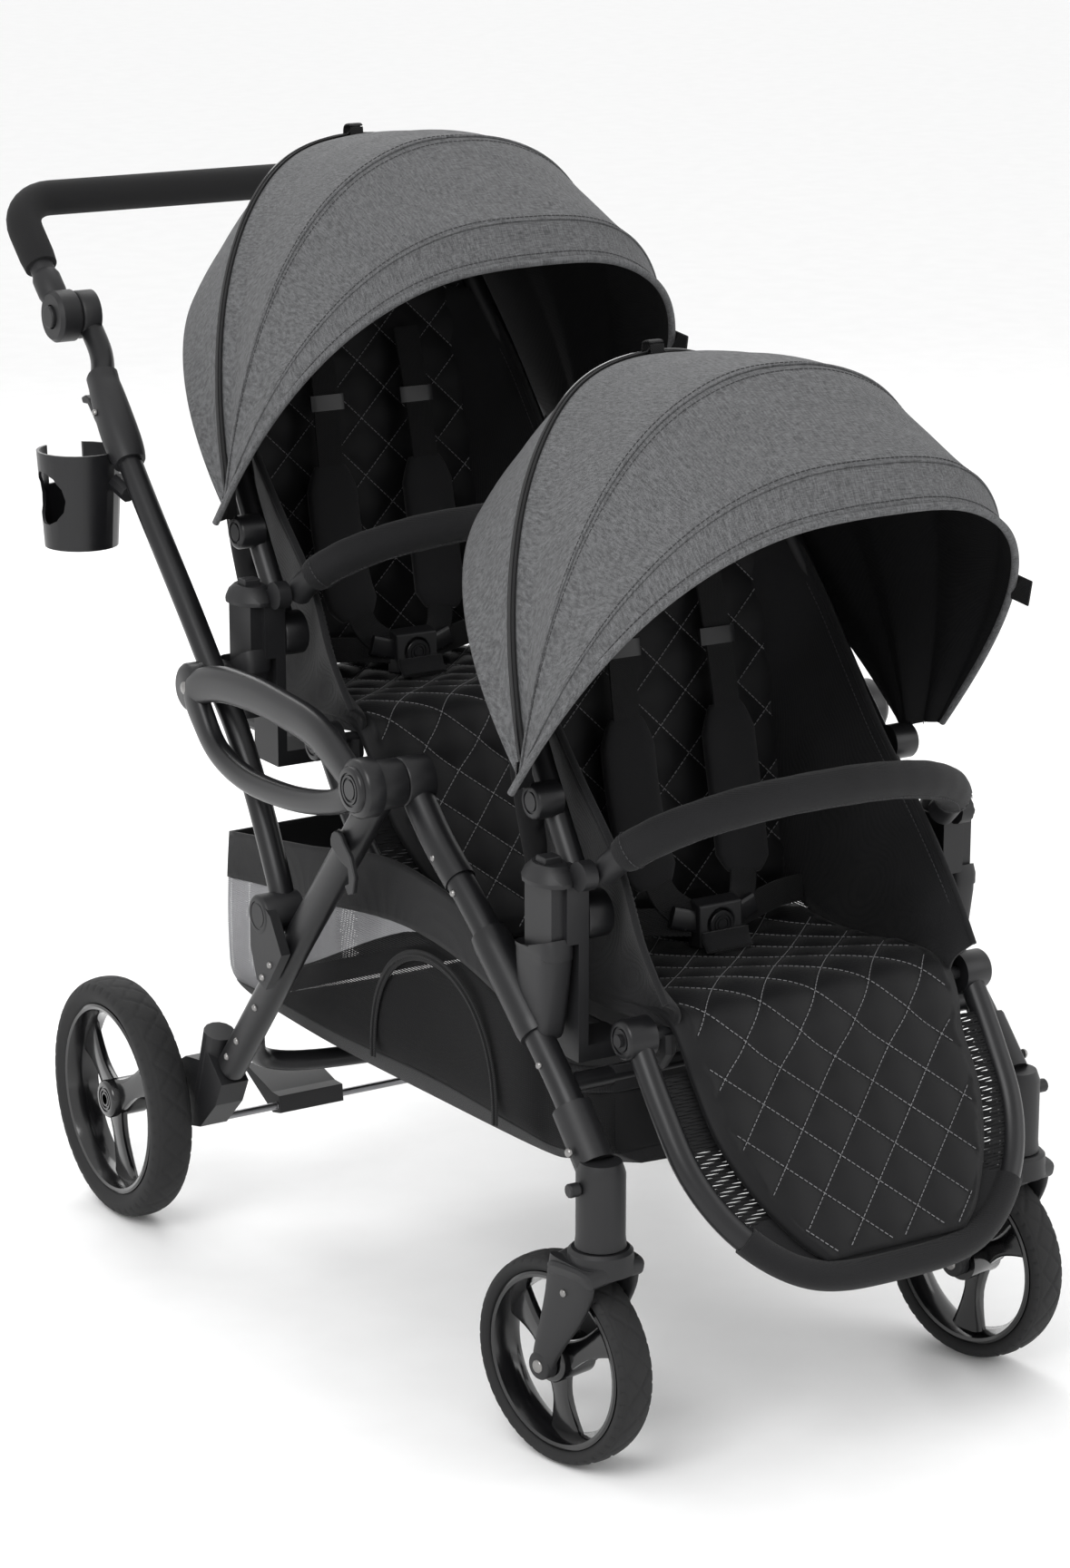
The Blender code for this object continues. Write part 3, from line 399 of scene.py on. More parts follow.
def wheel(kind, side, centre, radius, width, rim, turn=0.0):
    """Tyre with tread grooves, deep rim with three broad spokes, and a hub cap."""
    name, out = f"{kind}_wheel_{side}", SIDES[side]
    place = Matrix.Translation(Vector(centre)) @ Matrix.Rotation(turn, 4, "Z")
    thick, half = radius - rim, width / 2
    steps, segments = 34, 288
    pitch = round(2 * pi * radius / 0.030)
    bm = bmesh.new()
    rows = []
    for i in range(steps + 3):
        a = pi * min(max(i - 1, 0), steps) / steps
        w = -cos(a)
        base = rim - 0.001 if i in (0, steps + 2) else rim + thick * (0.30 + 0.70 * sin(a) ** 0.62)
        x = half * w * (0.74 if i in (0, steps + 2) else 1.0)
        row = []
        for j in range(segments):
            t = 2 * pi * j / segments
            zigzag = abs(((t * pitch / (2 * pi)) % 1) - 0.5) * 2
            groove = max(0.0, 1 - abs(abs(w) / 0.62 - zigzag) / 0.17) if abs(w) < 0.72 else 0.0
            tick = 1.0 if 0.80 < abs(w) < 0.97 and j % 6 == 0 else 0.0
            rib = max(0.0, 1 - abs(abs(w) - 0.74) / 0.06)
            r = base - 0.0013 * groove - 0.0006 * rib - (0.0007 * tick if 0 < i < steps + 2 else 0)
            row.append(bm.verts.new((x - copysign(0.0008 * tick, w), r * cos(t), r * sin(t))))
        rows.append(row)
    skin(bm, rows, closed=True)
    bmesh.ops.transform(bm, matrix=place, verts=bm.verts)
    finish_piece(f"{name}_tyre", bm, RUBBER, name, (f"{kind}_tyre_{side}",), place, 50)
    bm = bmesh.new()
    lip = half * 0.80
    profile = [(rim - 0.0015, -lip), (rim - 0.004, -lip - 0.001), (rim - 0.007, -lip),
               (rim - 0.012, -lip * 0.3), (rim - 0.013, lip * 0.3),
               (rim - 0.007, lip), (rim - 0.004, lip + 0.001), (rim - 0.0015, lip)]
    turned(bm, profile, (0, 0, 0), segments=72)
    for j in range(3):
        middle = radians(90 + 60 + 120 * j)
        path, sizes = [], []
        for k in range(9):
            share = k / 8
            r = 0.012 + share * (rim - 0.022)
            flare = 0.010 + 0.012 * abs(share - 0.35) ** 1.6 * 2.2
            path.append(Vector((out * (0.006 - 0.010 * share), r * cos(middle), r * sin(middle))))
            sizes.append((flare * rim / 0.102 + 0.002, 0.0062 - 0.0012 * share))
        tube(bm, path, sizes, (1, 0, 0), 16, power=3.2)
    hub = 0.0200 * (0.85 + 0.15 * rim / 0.102)
    depth = 0.0205
    disc(bm, -out * depth, out * depth, (0, 0), hub, (0.0125, 0.0085), 0.003)
    bmesh.ops.transform(bm, matrix=place, verts=bm.verts)
    finish_piece(f"{name}_rim", bm, GLOSS, name, (f"{kind}_rim_{side}",), place, 35)


for side, sign in SIDES.items():
    wheel("rear", side, (sign * REAR_TRACK, *REAR_AXLE), *REAR_WHEEL)
    wheel("front", side, front_wheel_centre(sign), *FRONT_WHEEL, CASTER_TURN)

# ---- moulded parts kept from the frame ----
def socket(row, side):
    """Cup on the chassis that a seat's post drops into, drawn in towards its foot."""
    node = f"seat_socket_{row}_{side}"
    low, high = [Vector(corner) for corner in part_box(node)]
    centre, half = (low + high) / 2, (high - low) / 2
    bm = bmesh.new()
    path, sizes = [], []
    for share, wide in ((0, 0.60), (0.03, 0.66), (0.25, 0.76), (0.55, 0.86), (0.80, 0.94), (0.90, 0.95),
                        (0.91, 1.0), (0.985, 1.0), (1.0, 0.95)):
        path.append(Vector((centre.x, centre.y + half.y * 0.25 * (1 - wide), low.z + 2 * half.z * share)))
        sizes.append((half.y * wide, half.x * (0.55 + 0.45 * wide)))
    tube(bm, path, sizes, (1, 0, 0), 36, power=3.6)
    finish_piece(f"{node}_fine", bm, PLASTIC, "chassis", (node,), angle=35)


def fork(side, sign):
    """Caster fork: rounded crown, two tapering legs, and axle bosses with bolt heads."""
    middle = front_wheel_centre(sign)
    place = Matrix.Translation(middle) @ Matrix.Rotation(CASTER_TURN, 4, "Z")
    node = f"caster_fork_{side}"
    own = [place.inverted() @ v.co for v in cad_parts[node].data.vertices]
    reach, top = max(p.x for p in own), FORK_TOP - middle.z
    bm = bmesh.new()
    turned(bm, [(0, top), (0.0265, top), (0.0295, top - 0.003), (0.031, top - 0.022), (0, top - 0.022)],
           (0, -CASTER_TRAIL, 0), "Z")
    half = [(0.98, 0.026, 0.008), (0.93, 0.029, 0.0105), (0.5, 0.032, 0.0125)]
    crown = [(-x, wide, high) for x, wide, high in half] + [(0, 0.033, 0.0130)] + half[::-1]
    path = [(x * reach, -CASTER_TRAIL + 0.006, top - 0.017 - 0.006 * x ** 2) for x, wide, high in crown]
    tube(bm, path, [(wide, high) for x, wide, high in crown], (0, 0, 1), 32, power=3.0)
    for out in (-1, 1):
        line = curve([(-0.038, top - 0.010, 0.0270), (-0.036, top - 0.030, 0.0290),
                      (-0.028, top - 0.055, 0.0250), (-0.014, top - 0.085, 0.0180),
                      (-0.004, 0.012, 0.0140), (0.001, -0.006, 0.0115)], 6)
        path = [Vector((out * (reach - 0.0068), p.x, p.y)) for p in line]
        tube(bm, path, [(p.z, 0.0058) for p in line], (1, 0, 0), 28, power=2.8)
        disc(bm, out * (reach - 0.0125), out * (reach - 0.0004), (0, 0), 0.0132, edge=0.002)
    bmesh.ops.transform(bm, matrix=place, verts=bm.verts)
    finish_piece(f"{node}_fine", bm, PLASTIC, f"caster_{side}", (node,), place, 40)
    bm = bmesh.new()
    for out in (-1, 1):
        disc(bm, out * (reach - 0.002), out * (reach + 0.0014), (0, 0), 0.0062, edge=0.0014)
    disc(bm, sign * (reach - 0.002), sign * (reach + 0.0008), (-0.033, top - 0.040), 0.0036, edge=0.001)
    bmesh.ops.transform(bm, matrix=place, verts=bm.verts)
    finish_piece(f"caster_bolts_{side}", bm, STEEL, f"caster_{side}", place=place)


def buckle_button(row):
    """Round button in the buckle's face, with two ring grooves and clearance in its pocket."""
    node = f"{row}_buckle_button"
    low, high = [Vector(corner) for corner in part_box(node)]
    centre, radius = (low + high) / 2, (high.x - low.x) / 2
    wall, face, back = radius - 0.0006, low.y, high.y - 0.0010
    profile = [(0, back), (wall - 0.0020, back), (wall, back - 0.0022), (wall, face + 0.001),
               (wall - 0.0010, face)]
    for ring in (radius * 0.62, radius * 0.40):
        profile += [(ring + 0.0010, face), (ring + 0.0006, face + 0.0010),
                    (ring - 0.0006, face + 0.0010), (ring - 0.0010, face)]
    bm = bmesh.new()
    turned(bm, profile + [(0, face)], (centre.x, 0, centre.z), "Y")
    finish_piece(f"{node}_fine", bm, ARM, f"{row}_buckle_push", (node,))

for side, sign in SIDES.items():
    fork(side, sign)
    refine(f"caster_housing_{side}", PLASTIC, "chassis", 0.0015, 35)
    refine(f"axle_bracket_{side}", PLASTIC, "rear_legs", 0.0035, 28)
    refine(f"swivel_lock_{side}", PLASTIC, f"swivel_knob_{side}")
    refine(f"handle_button_{side}", PLASTIC, f"handle_push_{side}", 0.0015)
    refine(f"fold_trigger_{side}", PLASTIC, f"trigger_{side}", 0.0015, 25)
    for row in ("front", "rear"):
        socket(row, side)
        refine(f"{row}_seat_release_{side}", PLASTIC, f"{row}_release_{side}", 0.0015)
refine("cup_holder", ARM, "chassis", 0.0009, 30)
brake = refine("brake_pedal", (PLASTIC, ZINC), "brake", 0.0010, 35)
for face in brake.data.polygons:
    face.material_index = int((face.center.yz - Vector(BRAKE_ROD)).length < 0.0047)
refine("storage_latch", PLASTIC, "latch", 0.0012, 30)
for row in SEATS:
    refine(f"{row}_seat_frame", PLASTIC, f"{row}_seat", 0.0025, 35)
    refine(f"{row}_buckle", PLASTIC, f"{row}_seat", 0.0030, 30)
    buckle_button(row)


# ---- chassis tubes ----
def front_leg(bm, sign):
    """Bent front tube, thicker at the top, with a sleeve round its joint."""
    x = sign * FRONT_LEG_X
    upper = curve([(x, -0.170, 0.562), (x, -0.211, 0.524), (x, -0.276, 0.478), (x, -0.340, 0.427),
                   (x, -0.387, 0.387), (x, -0.433, 0.346), (x, -0.466, 0.3108)], 8)
    tube(bm, upper, 0.0136, (1, 0, 0), 28)
    sleeve = [p for p in upper if -0.390 < p.y < -0.296]
    tube(bm, upper[:14], (0.0162, 0.0150), (1, 0, 0), 28)
    sizes = [0.0185 if 0 < i < len(sleeve) - 1 else 0.0172 for i in range(len(sleeve))]
    tube(bm, sleeve, sizes, (1, 0, 0), 28)


bm = bmesh.new()
for sign in SIDES.values():
    front_leg(bm, sign)
    disc(bm, sign * 0.2195, sign * 0.2485, HUB, 0.0235)
tube(bm, [(-0.228, -0.425, 0.3505), (0.228, -0.425, 0.3505)], 0.009, (0, 0, 1))
finish_piece("front_legs", bm, TUBE, "chassis", ("front_frame",), angle=35)

bm = bmesh.new()
for sign in SIDES.values():
    x = sign * REAR_LEG_X
    leg = [(x, HUB[0] + 0.010, HUB[1] - 0.012), (x, 0.0, 0.384), (x, 0.156, 0.2005)]
    tube(bm, leg, (0.0165, 0.0126), (1, 0, 0), 28, power=2.4)
    disc(bm, sign * 0.2495, sign * 0.2762, HUB, 0.0235)
cross = curve([(-0.250, 0.128, 0.238), (-0.215, 0.175, 0.196), (-0.150, 0.165, 0.186), (0, 0.150, 0.186),
               (0.150, 0.165, 0.186), (0.215, 0.175, 0.196), (0.250, 0.128, 0.238)], 8)
tube(bm, cross, 0.0105, (0, 0, 1), 20)
finish_piece("rear_legs_tubes", bm, TUBE, "rear_legs", ("rear_frame",), angle=35)
rivets("rear_leg_rivets", [(0.2746, y, z) for y, z in (
    (0.010, 0.366), (0.042, 0.331), (0.079, 0.287), (0.120, 0.240), (0.142, 0.217), (-0.100, 0.512))],
       "rear_legs")
rivets("front_leg_rivets", [(0.2456, y, z) for y, z in (
    (-0.260, 0.489), (-0.225, 0.514), (-0.410, 0.367), (-0.448, 0.330))], "chassis")
rivets("housing_bolts", [(0.2545, -0.474, 0.306)], "chassis", 0.0046)

# closed centre line of the side arm's D-shaped loop
ARM_LOOP = curve([(-0.150, 0.577), (-0.085, 0.607), (-0.020, 0.615), (0.050, 0.617), (0.120, 0.611),
                  (0.166, 0.594), (0.150, 0.566), (0.118, 0.541), (0.060, 0.528), (-0.020, 0.530),
                  (-0.090, 0.541), (-0.140, 0.558), (-0.150, 0.577)], 8)[:-1]

for side, sign in SIDES.items():
    bm = bmesh.new()
    path = [Vector((sign * ARM_X, p.x, p.y)) for p in ARM_LOOP]
    middle = sum(p.z for p in path) / len(path)
    sizes = [(0.0150 + 0.0030 * max(-1.0, min(1.0, (p.z - middle) / 0.030)), 0.0104) for p in path]
    tube(bm, path, sizes, (1, 0, 0), 24, closed=True, power=2.6)
    disc(bm, sign * 0.2768, sign * 0.2960, HUB, 0.0285, edge=0.004)
    disc(bm, sign * 0.2768, sign * 0.2950, ARM_REAR, 0.0245, edge=0.005)
    disc(bm, sign * 0.2900, sign * 0.3010, HUB, 0.0222, (0.0150, 0.0105), 0.0025)
    finish_piece(f"side_arm_{side}_fine", bm, ARM, "chassis", (f"side_arm_{side}",), angle=35)
rivets("arm_bolts", [(0.2950, *ARM_REAR)], "chassis", 0.0068)


# ---- uprights and handle ----
for side, sign in SIDES.items():
    bm = bmesh.new()
    line = curve([(0.258, 0.045, 0.400), (0.258, 0.058, 0.430), (0.257, 0.096, 0.495),
                  (0.256, 0.141, 0.557), (0.256, 0.190, 0.606), (0.256, 0.241, 0.660),
                  (0.256, 0.327, 0.747), (0.255, 0.380, 0.801)], 8)
    tube(bm, mirrored(line, sign), 0.0125, (1, 0, 0), 24)
    stem = curve([(0.248, 0.443, 0.861), (0.240, 0.456, 0.873), (0.2360, 0.470, 0.887),
                  (0.2355, 0.489, 0.905)], 8)
    tube(bm, mirrored(stem, sign), 0.0122, (1, 0, 0), 24)
    finish_piece(f"upright_{side}", bm, TUBE, "chassis")
    bm = bmesh.new()
    shell = curve([(0.2555, 0.366, 0.787), (0.2545, 0.378, 0.799), (0.253, 0.400, 0.821),
                   (0.249, 0.430, 0.849), (0.246, 0.446, 0.864)], 6)
    sizes = [0.0158 + 0.0030 * sin(pi * min(1, i / 20)) for i in range(len(shell))]
    tube(bm, mirrored(shell, sign), sizes, (1, 0, 0), 28, power=2.5)
    disc(bm, sign * 0.2280, sign * 0.2485, HANDLE_HUB, 0.025, edge=0.003)
    disc(bm, sign * 0.2455, sign * 0.2885, FOOT_DISC, 0.0205, (0.013,), 0.003)
    bracket = [(0.060, 0.398), (0.042, 0.413), (0.018, 0.400), (-0.004, 0.366),
               (0.008, 0.350), (0.030, 0.322), (0.048, 0.328), (0.060, 0.360)]
    plate(bm, bracket, *sorted((sign * 0.2780, sign * 0.2880)))
    node = f"push_tube_{side}"
    finish_piece(f"upright_fittings_{side}", bm, PLASTIC, "chassis", (node,), angle=35)
rivets("upright_rivets", [(0.2712, 0.413, 0.833), (0.2881, 0.020, 0.350), (0.2881, 0.036, 0.333)], "chassis")

HANDLE_LINE = Vector((0, GRIP[0] - HANDLE_HUB[0], GRIP[1] - HANDLE_HUB[1]))
handle_unit = HANDLE_LINE.normalized()


def handle_point(x, distance):
    """Place in the handle's plane, at a distance up from its hubs."""
    return Vector((x, *HANDLE_HUB)) + handle_unit * distance


def handle_half(sign):
    """One side of the grip's centre line, from above the hub round the corner."""
    length, corner = HANDLE_LINE.length, 0.042
    run = [(HANDLE_X, d) for d in (0.066, 0.080, 0.095)]
    for step in range(10):
        a = pi / 2 * step / 9
        run.append((HANDLE_X - corner * (1 - cos(a)), length - corner * (1 - sin(a))))
    return [handle_point(sign * x, d) for x, d in run]


bm = bmesh.new()
bar = handle_half(-1) + list(reversed(handle_half(1)))
normal = Vector((1, 0, 0)).cross(handle_unit)
sizes = [0.0172] + [0.0185] * (len(bar) - 2) + [0.0172]
tube(bm, bar, sizes, normal, 28)
finish_piece("handle_grip", bm, FOAM, "handle_bar", ("handle",))
bm = bmesh.new()
for sign in SIDES.values():
    tube(bm, [handle_point(sign * HANDLE_X, d) for d in (0.020, 0.045, 0.068)], 0.0128, (1, 0, 0), 24)
    tube(bm, [handle_point(sign * HANDLE_X, d) for d in (0.020, 0.030, 0.050, 0.056)],
         [0.0128, 0.0150, 0.0150, 0.0128], (1, 0, 0), 24)
    face, back = sign * 0.2750, sign * 0.2490
    turned(bm, [(0, back), (0.024, back), (0.027, back + sign * 0.003), (0.027, face - sign * 0.004),
                (0.0235, face), (0.0128, face), (0.0128, face - sign * 0.0078), (0, face - sign * 0.0078)],
           (0, *HANDLE_HUB))
finish_piece("handle_hubs", bm, PLASTIC, "handle_bar", angle=35)


# ---- seat: quilted strips ----
def strip_surface(line, samples=190):
    """Evenly spaced (point, normal, half width, distance) along a seat's profile of (y, z, half width)."""
    dense = curve([(y, z, half) for y, z, half in line], 24)
    places, total = [0.0], 0.0
    for a, b in zip(dense, dense[1:]):
        total += (b.xy - a.xy).length
        places.append(total)
    rows, k = [], 0
    for i in range(samples + 1):
        target = total * i / samples
        while k < len(places) - 2 and places[k + 1] < target:
            k += 1
        share = (target - places[k]) / max(places[k + 1] - places[k], 1e-9)
        point = dense[k].lerp(dense[k + 1], min(max(share, 0), 1))
        rows.append((point, target))
    out = []
    for i, (point, distance) in enumerate(rows):
        ahead = rows[min(i + 1, samples)][0].xy - rows[max(i - 1, 0)][0].xy
        normal_yz = Vector((-ahead.y, ahead.x)).normalized()
        out.append((point, normal_yz, point.z, distance))
    return out, total


def quilt(x, distance, half):
    """Height of the quilting: puffed diamonds between crossing seams, flat in the bound border."""
    if abs(x) > half * 0.90:
        return 0.5
    a = abs(sin(pi * (x + distance) / QUILT))
    b = abs(sin(pi * (x - distance) / QUILT))
    return (a * b) ** 0.65


def strip_pad(name, line, thickness, flip, shift, puff=0.0044, across=120):
    """A padded, quilted strip: crowned, thin at its bound edges, with a flat underside."""
    rows, total = strip_surface(line)
    top, bottom = [], []
    for point, normal_yz, half, distance in rows:
        end = min(distance, total - distance)
        lift = min(1.0, end / 0.018) ** 0.5 if end < 0.018 else 1.0
        upper, lower = [], []
        for j in range(across + 1):
            x = -half + 2 * half * j / across
            edge = 1 - abs(x / half)
            crown = min(1.0, edge / 0.10) ** 0.5
            rise = (thickness * 0.5 + puff * quilt(x, distance, half)) * crown * lift
            rise *= -1 if flip else 1
            under = thickness * 0.5 * crown * lift * (-1 if flip else 1)
            upper.append(Vector((x, point.x + normal_yz.x * rise, point.y + normal_yz.y * rise)) + shift)
            lower.append(Vector((x, point.x - normal_yz.x * under, point.y - normal_yz.y * under)) + shift)
        top.append(upper)
        bottom.append(lower)
    bm = bmesh.new()
    made_top = [[bm.verts.new(p) for p in row] for row in top]
    made_low = [[made_top[i][j] if j in (0, across) else bm.verts.new(p) for j, p in enumerate(row)]
                for i, row in enumerate(bottom)]
    for rows_made in (made_top, made_low):
        for low, high in zip(rows_made, rows_made[1:]):
            for j in range(across):
                bm.faces.new((low[j], low[j + 1], high[j + 1], high[j]))
    for i in (0, -1):
        for j in range(across):
            corners = (made_top[i][j], made_top[i][j + 1], made_low[i][j + 1], made_low[i][j])
            corners = list(dict.fromkeys(corners))
            if len(corners) > 2:
                bm.faces.new(corners)
    piece = finish_piece(name, bm, SATEEN, angle=80)
    seams = bmesh.new()
    for direction in (-1, 1):
        for k in range(-14, 30):
            path = []
            for point, normal_yz, half, distance in rows[3:-3]:
                x = direction * (k * QUILT - distance)
                if abs(x) < half * 0.88:
                    rise = (thickness * 0.5 + 0.0011) * (-1 if flip else 1)
                    path.append(Vector((x, point.x + normal_yz.x * rise, point.y + normal_yz.y * rise)) + shift)
            if len(path) > 2:
                stitches(seams, path)
    return piece, finish_piece(f"{name}_stitching", seams, THREAD)


def foot_point(x, s, out=0.0):
    """Place on the leg support: s down its slope from the hinge, out from its plane."""
    return Vector((x, FOOTREST_AXIS[0] - s * cos(FOOTREST_DROP) - out * sin(FOOTREST_DROP),
                   FOOTREST_AXIS[1] - s * sin(FOOTREST_DROP) + out * cos(FOOTREST_DROP)))


def seat_cushions(row, shift):
    """Quilted strip over the seat and down the leg support, and another up the back."""
    leg = [foot_point(0, s, 0.008) for s in (0.055, 0.110, 0.165, 0.215, 0.236)]
    halves = (0.150, 0.146, 0.128, 0.098, 0.076)
    line = [(-0.246, 0.412, 0.150), (-0.300, 0.404, 0.154), (-0.370, 0.407, 0.156), (-0.440, 0.416, 0.157),
            (-0.480, 0.412, 0.156), (-0.500, 0.390, 0.154)]
    line += [(p.y, p.z, half) for p, half in zip(leg, halves)]
    pad, seams = strip_pad(f"{row}_seat_cushion", line, 0.014, True, shift)
    bend((pad, seams), row, ("seat", "leg_support"), (-0.462, 0.425), (-0.520, 0.365), shift)
    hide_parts(f"{row}_seat_pad", f"{row}_legrest_pad")
    line = [(-0.252, 0.428, 0.140), (-0.240, 0.500, 0.150), (-0.232, 0.580, 0.160), (-0.216, 0.700, 0.162),
            (-0.204, 0.780, 0.152), (-0.195, 0.835, 0.122), (-0.190, 0.862, 0.085)]
    back, seams = strip_pad(f"{row}_back_cushion", line, 0.024, False, shift + Vector((0, 0.010, 0)))
    bend((back, seams), row, *BACK_BEND, shift)
    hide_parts(f"{row}_seat_back")


def seat_sides(row, shift):
    """Soft side panels from the cushion's edge up to the bumper and along the back tubes."""
    low = curve([(-0.488, 0.408, 0.152), (-0.430, 0.402, 0.156), (-0.350, 0.398, 0.154),
                 (-0.272, 0.412, 0.150), (-0.242, 0.460, 0.132), (-0.226, 0.580, 0.128),
                 (-0.194, 0.800, 0.100)], 8)
    high = curve([(-0.500, 0.436, 0.170), (-0.462, 0.486, 0.172), (-0.416, 0.548, 0.1665),
                  (-0.352, 0.610, 0.1665), (-0.300, 0.668, 0.168), (-0.256, 0.724, 0.166),
                  (-0.214, 0.790, 0.150)], 8)
    for side, sign in SIDES.items():
        rows = []
        for k in range(17):
            share = k / 16
            puff = 0.010 * sin(pi * share)
            points = []
            for i, (a, b) in enumerate(zip(low, high)):
                p = a.lerp(b, share)
                ripple = 0.0016 * sin(i * 0.9 + share * 5) * sin(pi * share)
                points.append(Vector((sign * (p.z - puff + ripple), p.x, p.y)) + shift)
            rows.append(points)
        bm = bmesh.new()
        grid(bm, rows, flip=sign > 0)
        panel = finish_piece(f"{row}_side_panel_{side}", bm, WEAVE, angle=80,
                             outward=False)
        bm = bmesh.new()
        edge = [Vector((sign * p.z, p.x, p.y)) + shift for p in high]
        tube(bm, edge, 0.0034, (1, 0, 0), 10)
        seam = [Vector((sign * (p.z - 0.0068), p.x, p.y - 0.010)) + shift for p in high]
        binding = finish_piece(f"{row}_side_binding_{side}", bm, WEAVE)
        bm = bmesh.new()
        stitches(bm, seam[2:-2])
        sewing = finish_piece(f"{row}_side_sewing_{side}", bm, DARK_THREAD)
        bend((panel, binding, sewing), row, ("seat", "back"), (-0.37, 0.49), (-0.28, 0.60), shift)
        make_sheet(panel, 0.004)


FACING = (0, -1, 0.2)           # the way the harness faces

def strap(bm, path, width, shift):
    """Flat webbing through points of the front seat."""
    tube(bm, curve(moved(path, shift), 8), (width / 2, 0.0016), FACING, 12, power=6)

def harness(row, shift):
    """Shoulder, waist and crotch webbing with padded sleeves, adjusters and buckle arms."""
    bm, pads, hard = bmesh.new(), bmesh.new(), bmesh.new()
    for sign in SIDES.values():
        strap(bm, [(sign * 0.052, -0.226, 0.760), (sign * 0.053, -0.240, 0.715),
                   (sign * 0.056, -0.256, 0.640), (sign * 0.056, -0.277, 0.540),
                   (sign * 0.046, -0.305, 0.470), (sign * 0.024, -0.326, 0.446)], 0.030, shift)
        strap(bm, [(sign * 0.140, -0.268, 0.436), (sign * 0.090, -0.296, 0.444),
                   (sign * 0.026, -0.325, 0.442)], 0.026, shift)
        middle = curve([(sign * 0.056, -0.256, 0.628), (sign * 0.057, -0.268, 0.570),
                        (sign * 0.055, -0.285, 0.510), (sign * 0.050, -0.300, 0.474)], 8)
        sizes = []
        for i in range(len(middle)):
            end = min(i, len(middle) - 1 - i) / 4
            sizes.append((0.0285 * min(1, 0.62 + 0.38 * end), 0.0085 * min(1, 0.45 + 0.55 * end)))
        tube(pads, moved(middle, shift), sizes, FACING, 28, power=3.2)
        arm = moved([(sign * 0.018, -0.327, 0.442), (sign * 0.046, -0.322, 0.450)], shift)
        tube(hard, arm, (0.0105, 0.0042), (0, -1, 0), 16, power=4)
        adjuster = moved([(sign * 0.053, -0.244, 0.700), (sign * 0.053, -0.247, 0.684)], shift)
        tube(hard, adjuster, (0.0200, 0.0030), (0, -1, 0), 16, power=4)
    strap(bm, [(0, -0.348, 0.416), (0, -0.342, 0.424), (0, -0.331, 0.440)], 0.030, shift)
    crotch = curve([(0, -0.352, 0.420), (0, -0.345, 0.428), (0, -0.3425, 0.436)], 4)
    tube(pads, moved(crotch, shift), (0.026, 0.004), FACING, 24, power=3)
    webbing = finish_piece(f"{row}_harness_webbing", bm, WEBBING)
    sleeve = finish_piece(f"{row}_shoulder_pads", pads, WEAVE, angle=70)
    fittings = finish_piece(f"{row}_harness_fittings", hard, ARM)
    bend((webbing, sleeve, fittings), row, *BACK_BEND, shift)

# ---- seat: footrest and bumper ----
FOOT_HALF = [(0.184, 0.006), (0.183, 0.070), (0.178, 0.128), (0.161, 0.175), (0.134, 0.212),
             (0.100, 0.238), (0.060, 0.250)]


def footrest(row, shift):
    """U-shaped tube with hinge caps, its cloth band, and the gusset between tube and cushion."""
    body = f"{row}_leg_support"
    ends = [foot_point(-x, s) for x, s in FOOT_HALF] + [foot_point(0, 0.2525)]
    path = curve(ends + [foot_point(x, s) for x, s in reversed(FOOT_HALF)], 8)
    normal = (0, -sin(FOOTREST_DROP), cos(FOOTREST_DROP))
    bm = bmesh.new()
    tube(bm, [p + shift for p in path], 0.0115, normal, 24)
    for sign in SIDES.values():
        centre = (FOOTREST_AXIS[0] + shift.y, FOOTREST_AXIS[1] + shift.z)
        disc(bm, sign * 0.1715, sign * 0.2010, centre, 0.0185, (0.0115,), 0.003)
    finish_piece(f"{row}_footrest_tube", bm, TUBE, body, (f"{row}_footrest",), angle=35)
    bm = bmesh.new()
    band = [p + shift for p in path if p.z < FOOTREST_AXIS[1] - 0.160]
    tube(bm, band, 0.0136, normal, 20)
    sleeve = finish_piece(f"{row}_footrest_band", bm, WEAVE, body)
    outer_half = ((0.178, 0.040), (0.174, 0.110), (0.160, 0.164), (0.131, 0.205), (0.096, 0.230),
                  (0.055, 0.243))
    inner_half = ((0.142, 0.040), (0.138, 0.110), (0.122, 0.160), (0.098, 0.196), (0.070, 0.214),
                  (0.040, 0.220))
    edges = []
    for half, lift, middle in ((inner_half, 0.002, 0.222), (outer_half, 0.004, 0.246)):
        run = [foot_point(-x, s, lift) for x, s in half] + [foot_point(0, middle, lift)]
        edges.append(curve(run + [foot_point(x, s, lift) for x, s in reversed(half)], 8))
    bm = bmesh.new()
    grid(bm, [[a.lerp(b, k / 6) + shift for a, b in zip(*edges)] for k in range(7)])
    gusset = finish_piece(f"{row}_footrest_gussets", bm, (MESH, WEAVE), body,
                          outward=False, angle=80)
    bottom = foot_point(0, 0.185).z + shift.z
    for face in gusset.data.polygons:
        face.material_index = int(face.center.z < bottom)
    make_sheet(gusset, 0.0008)


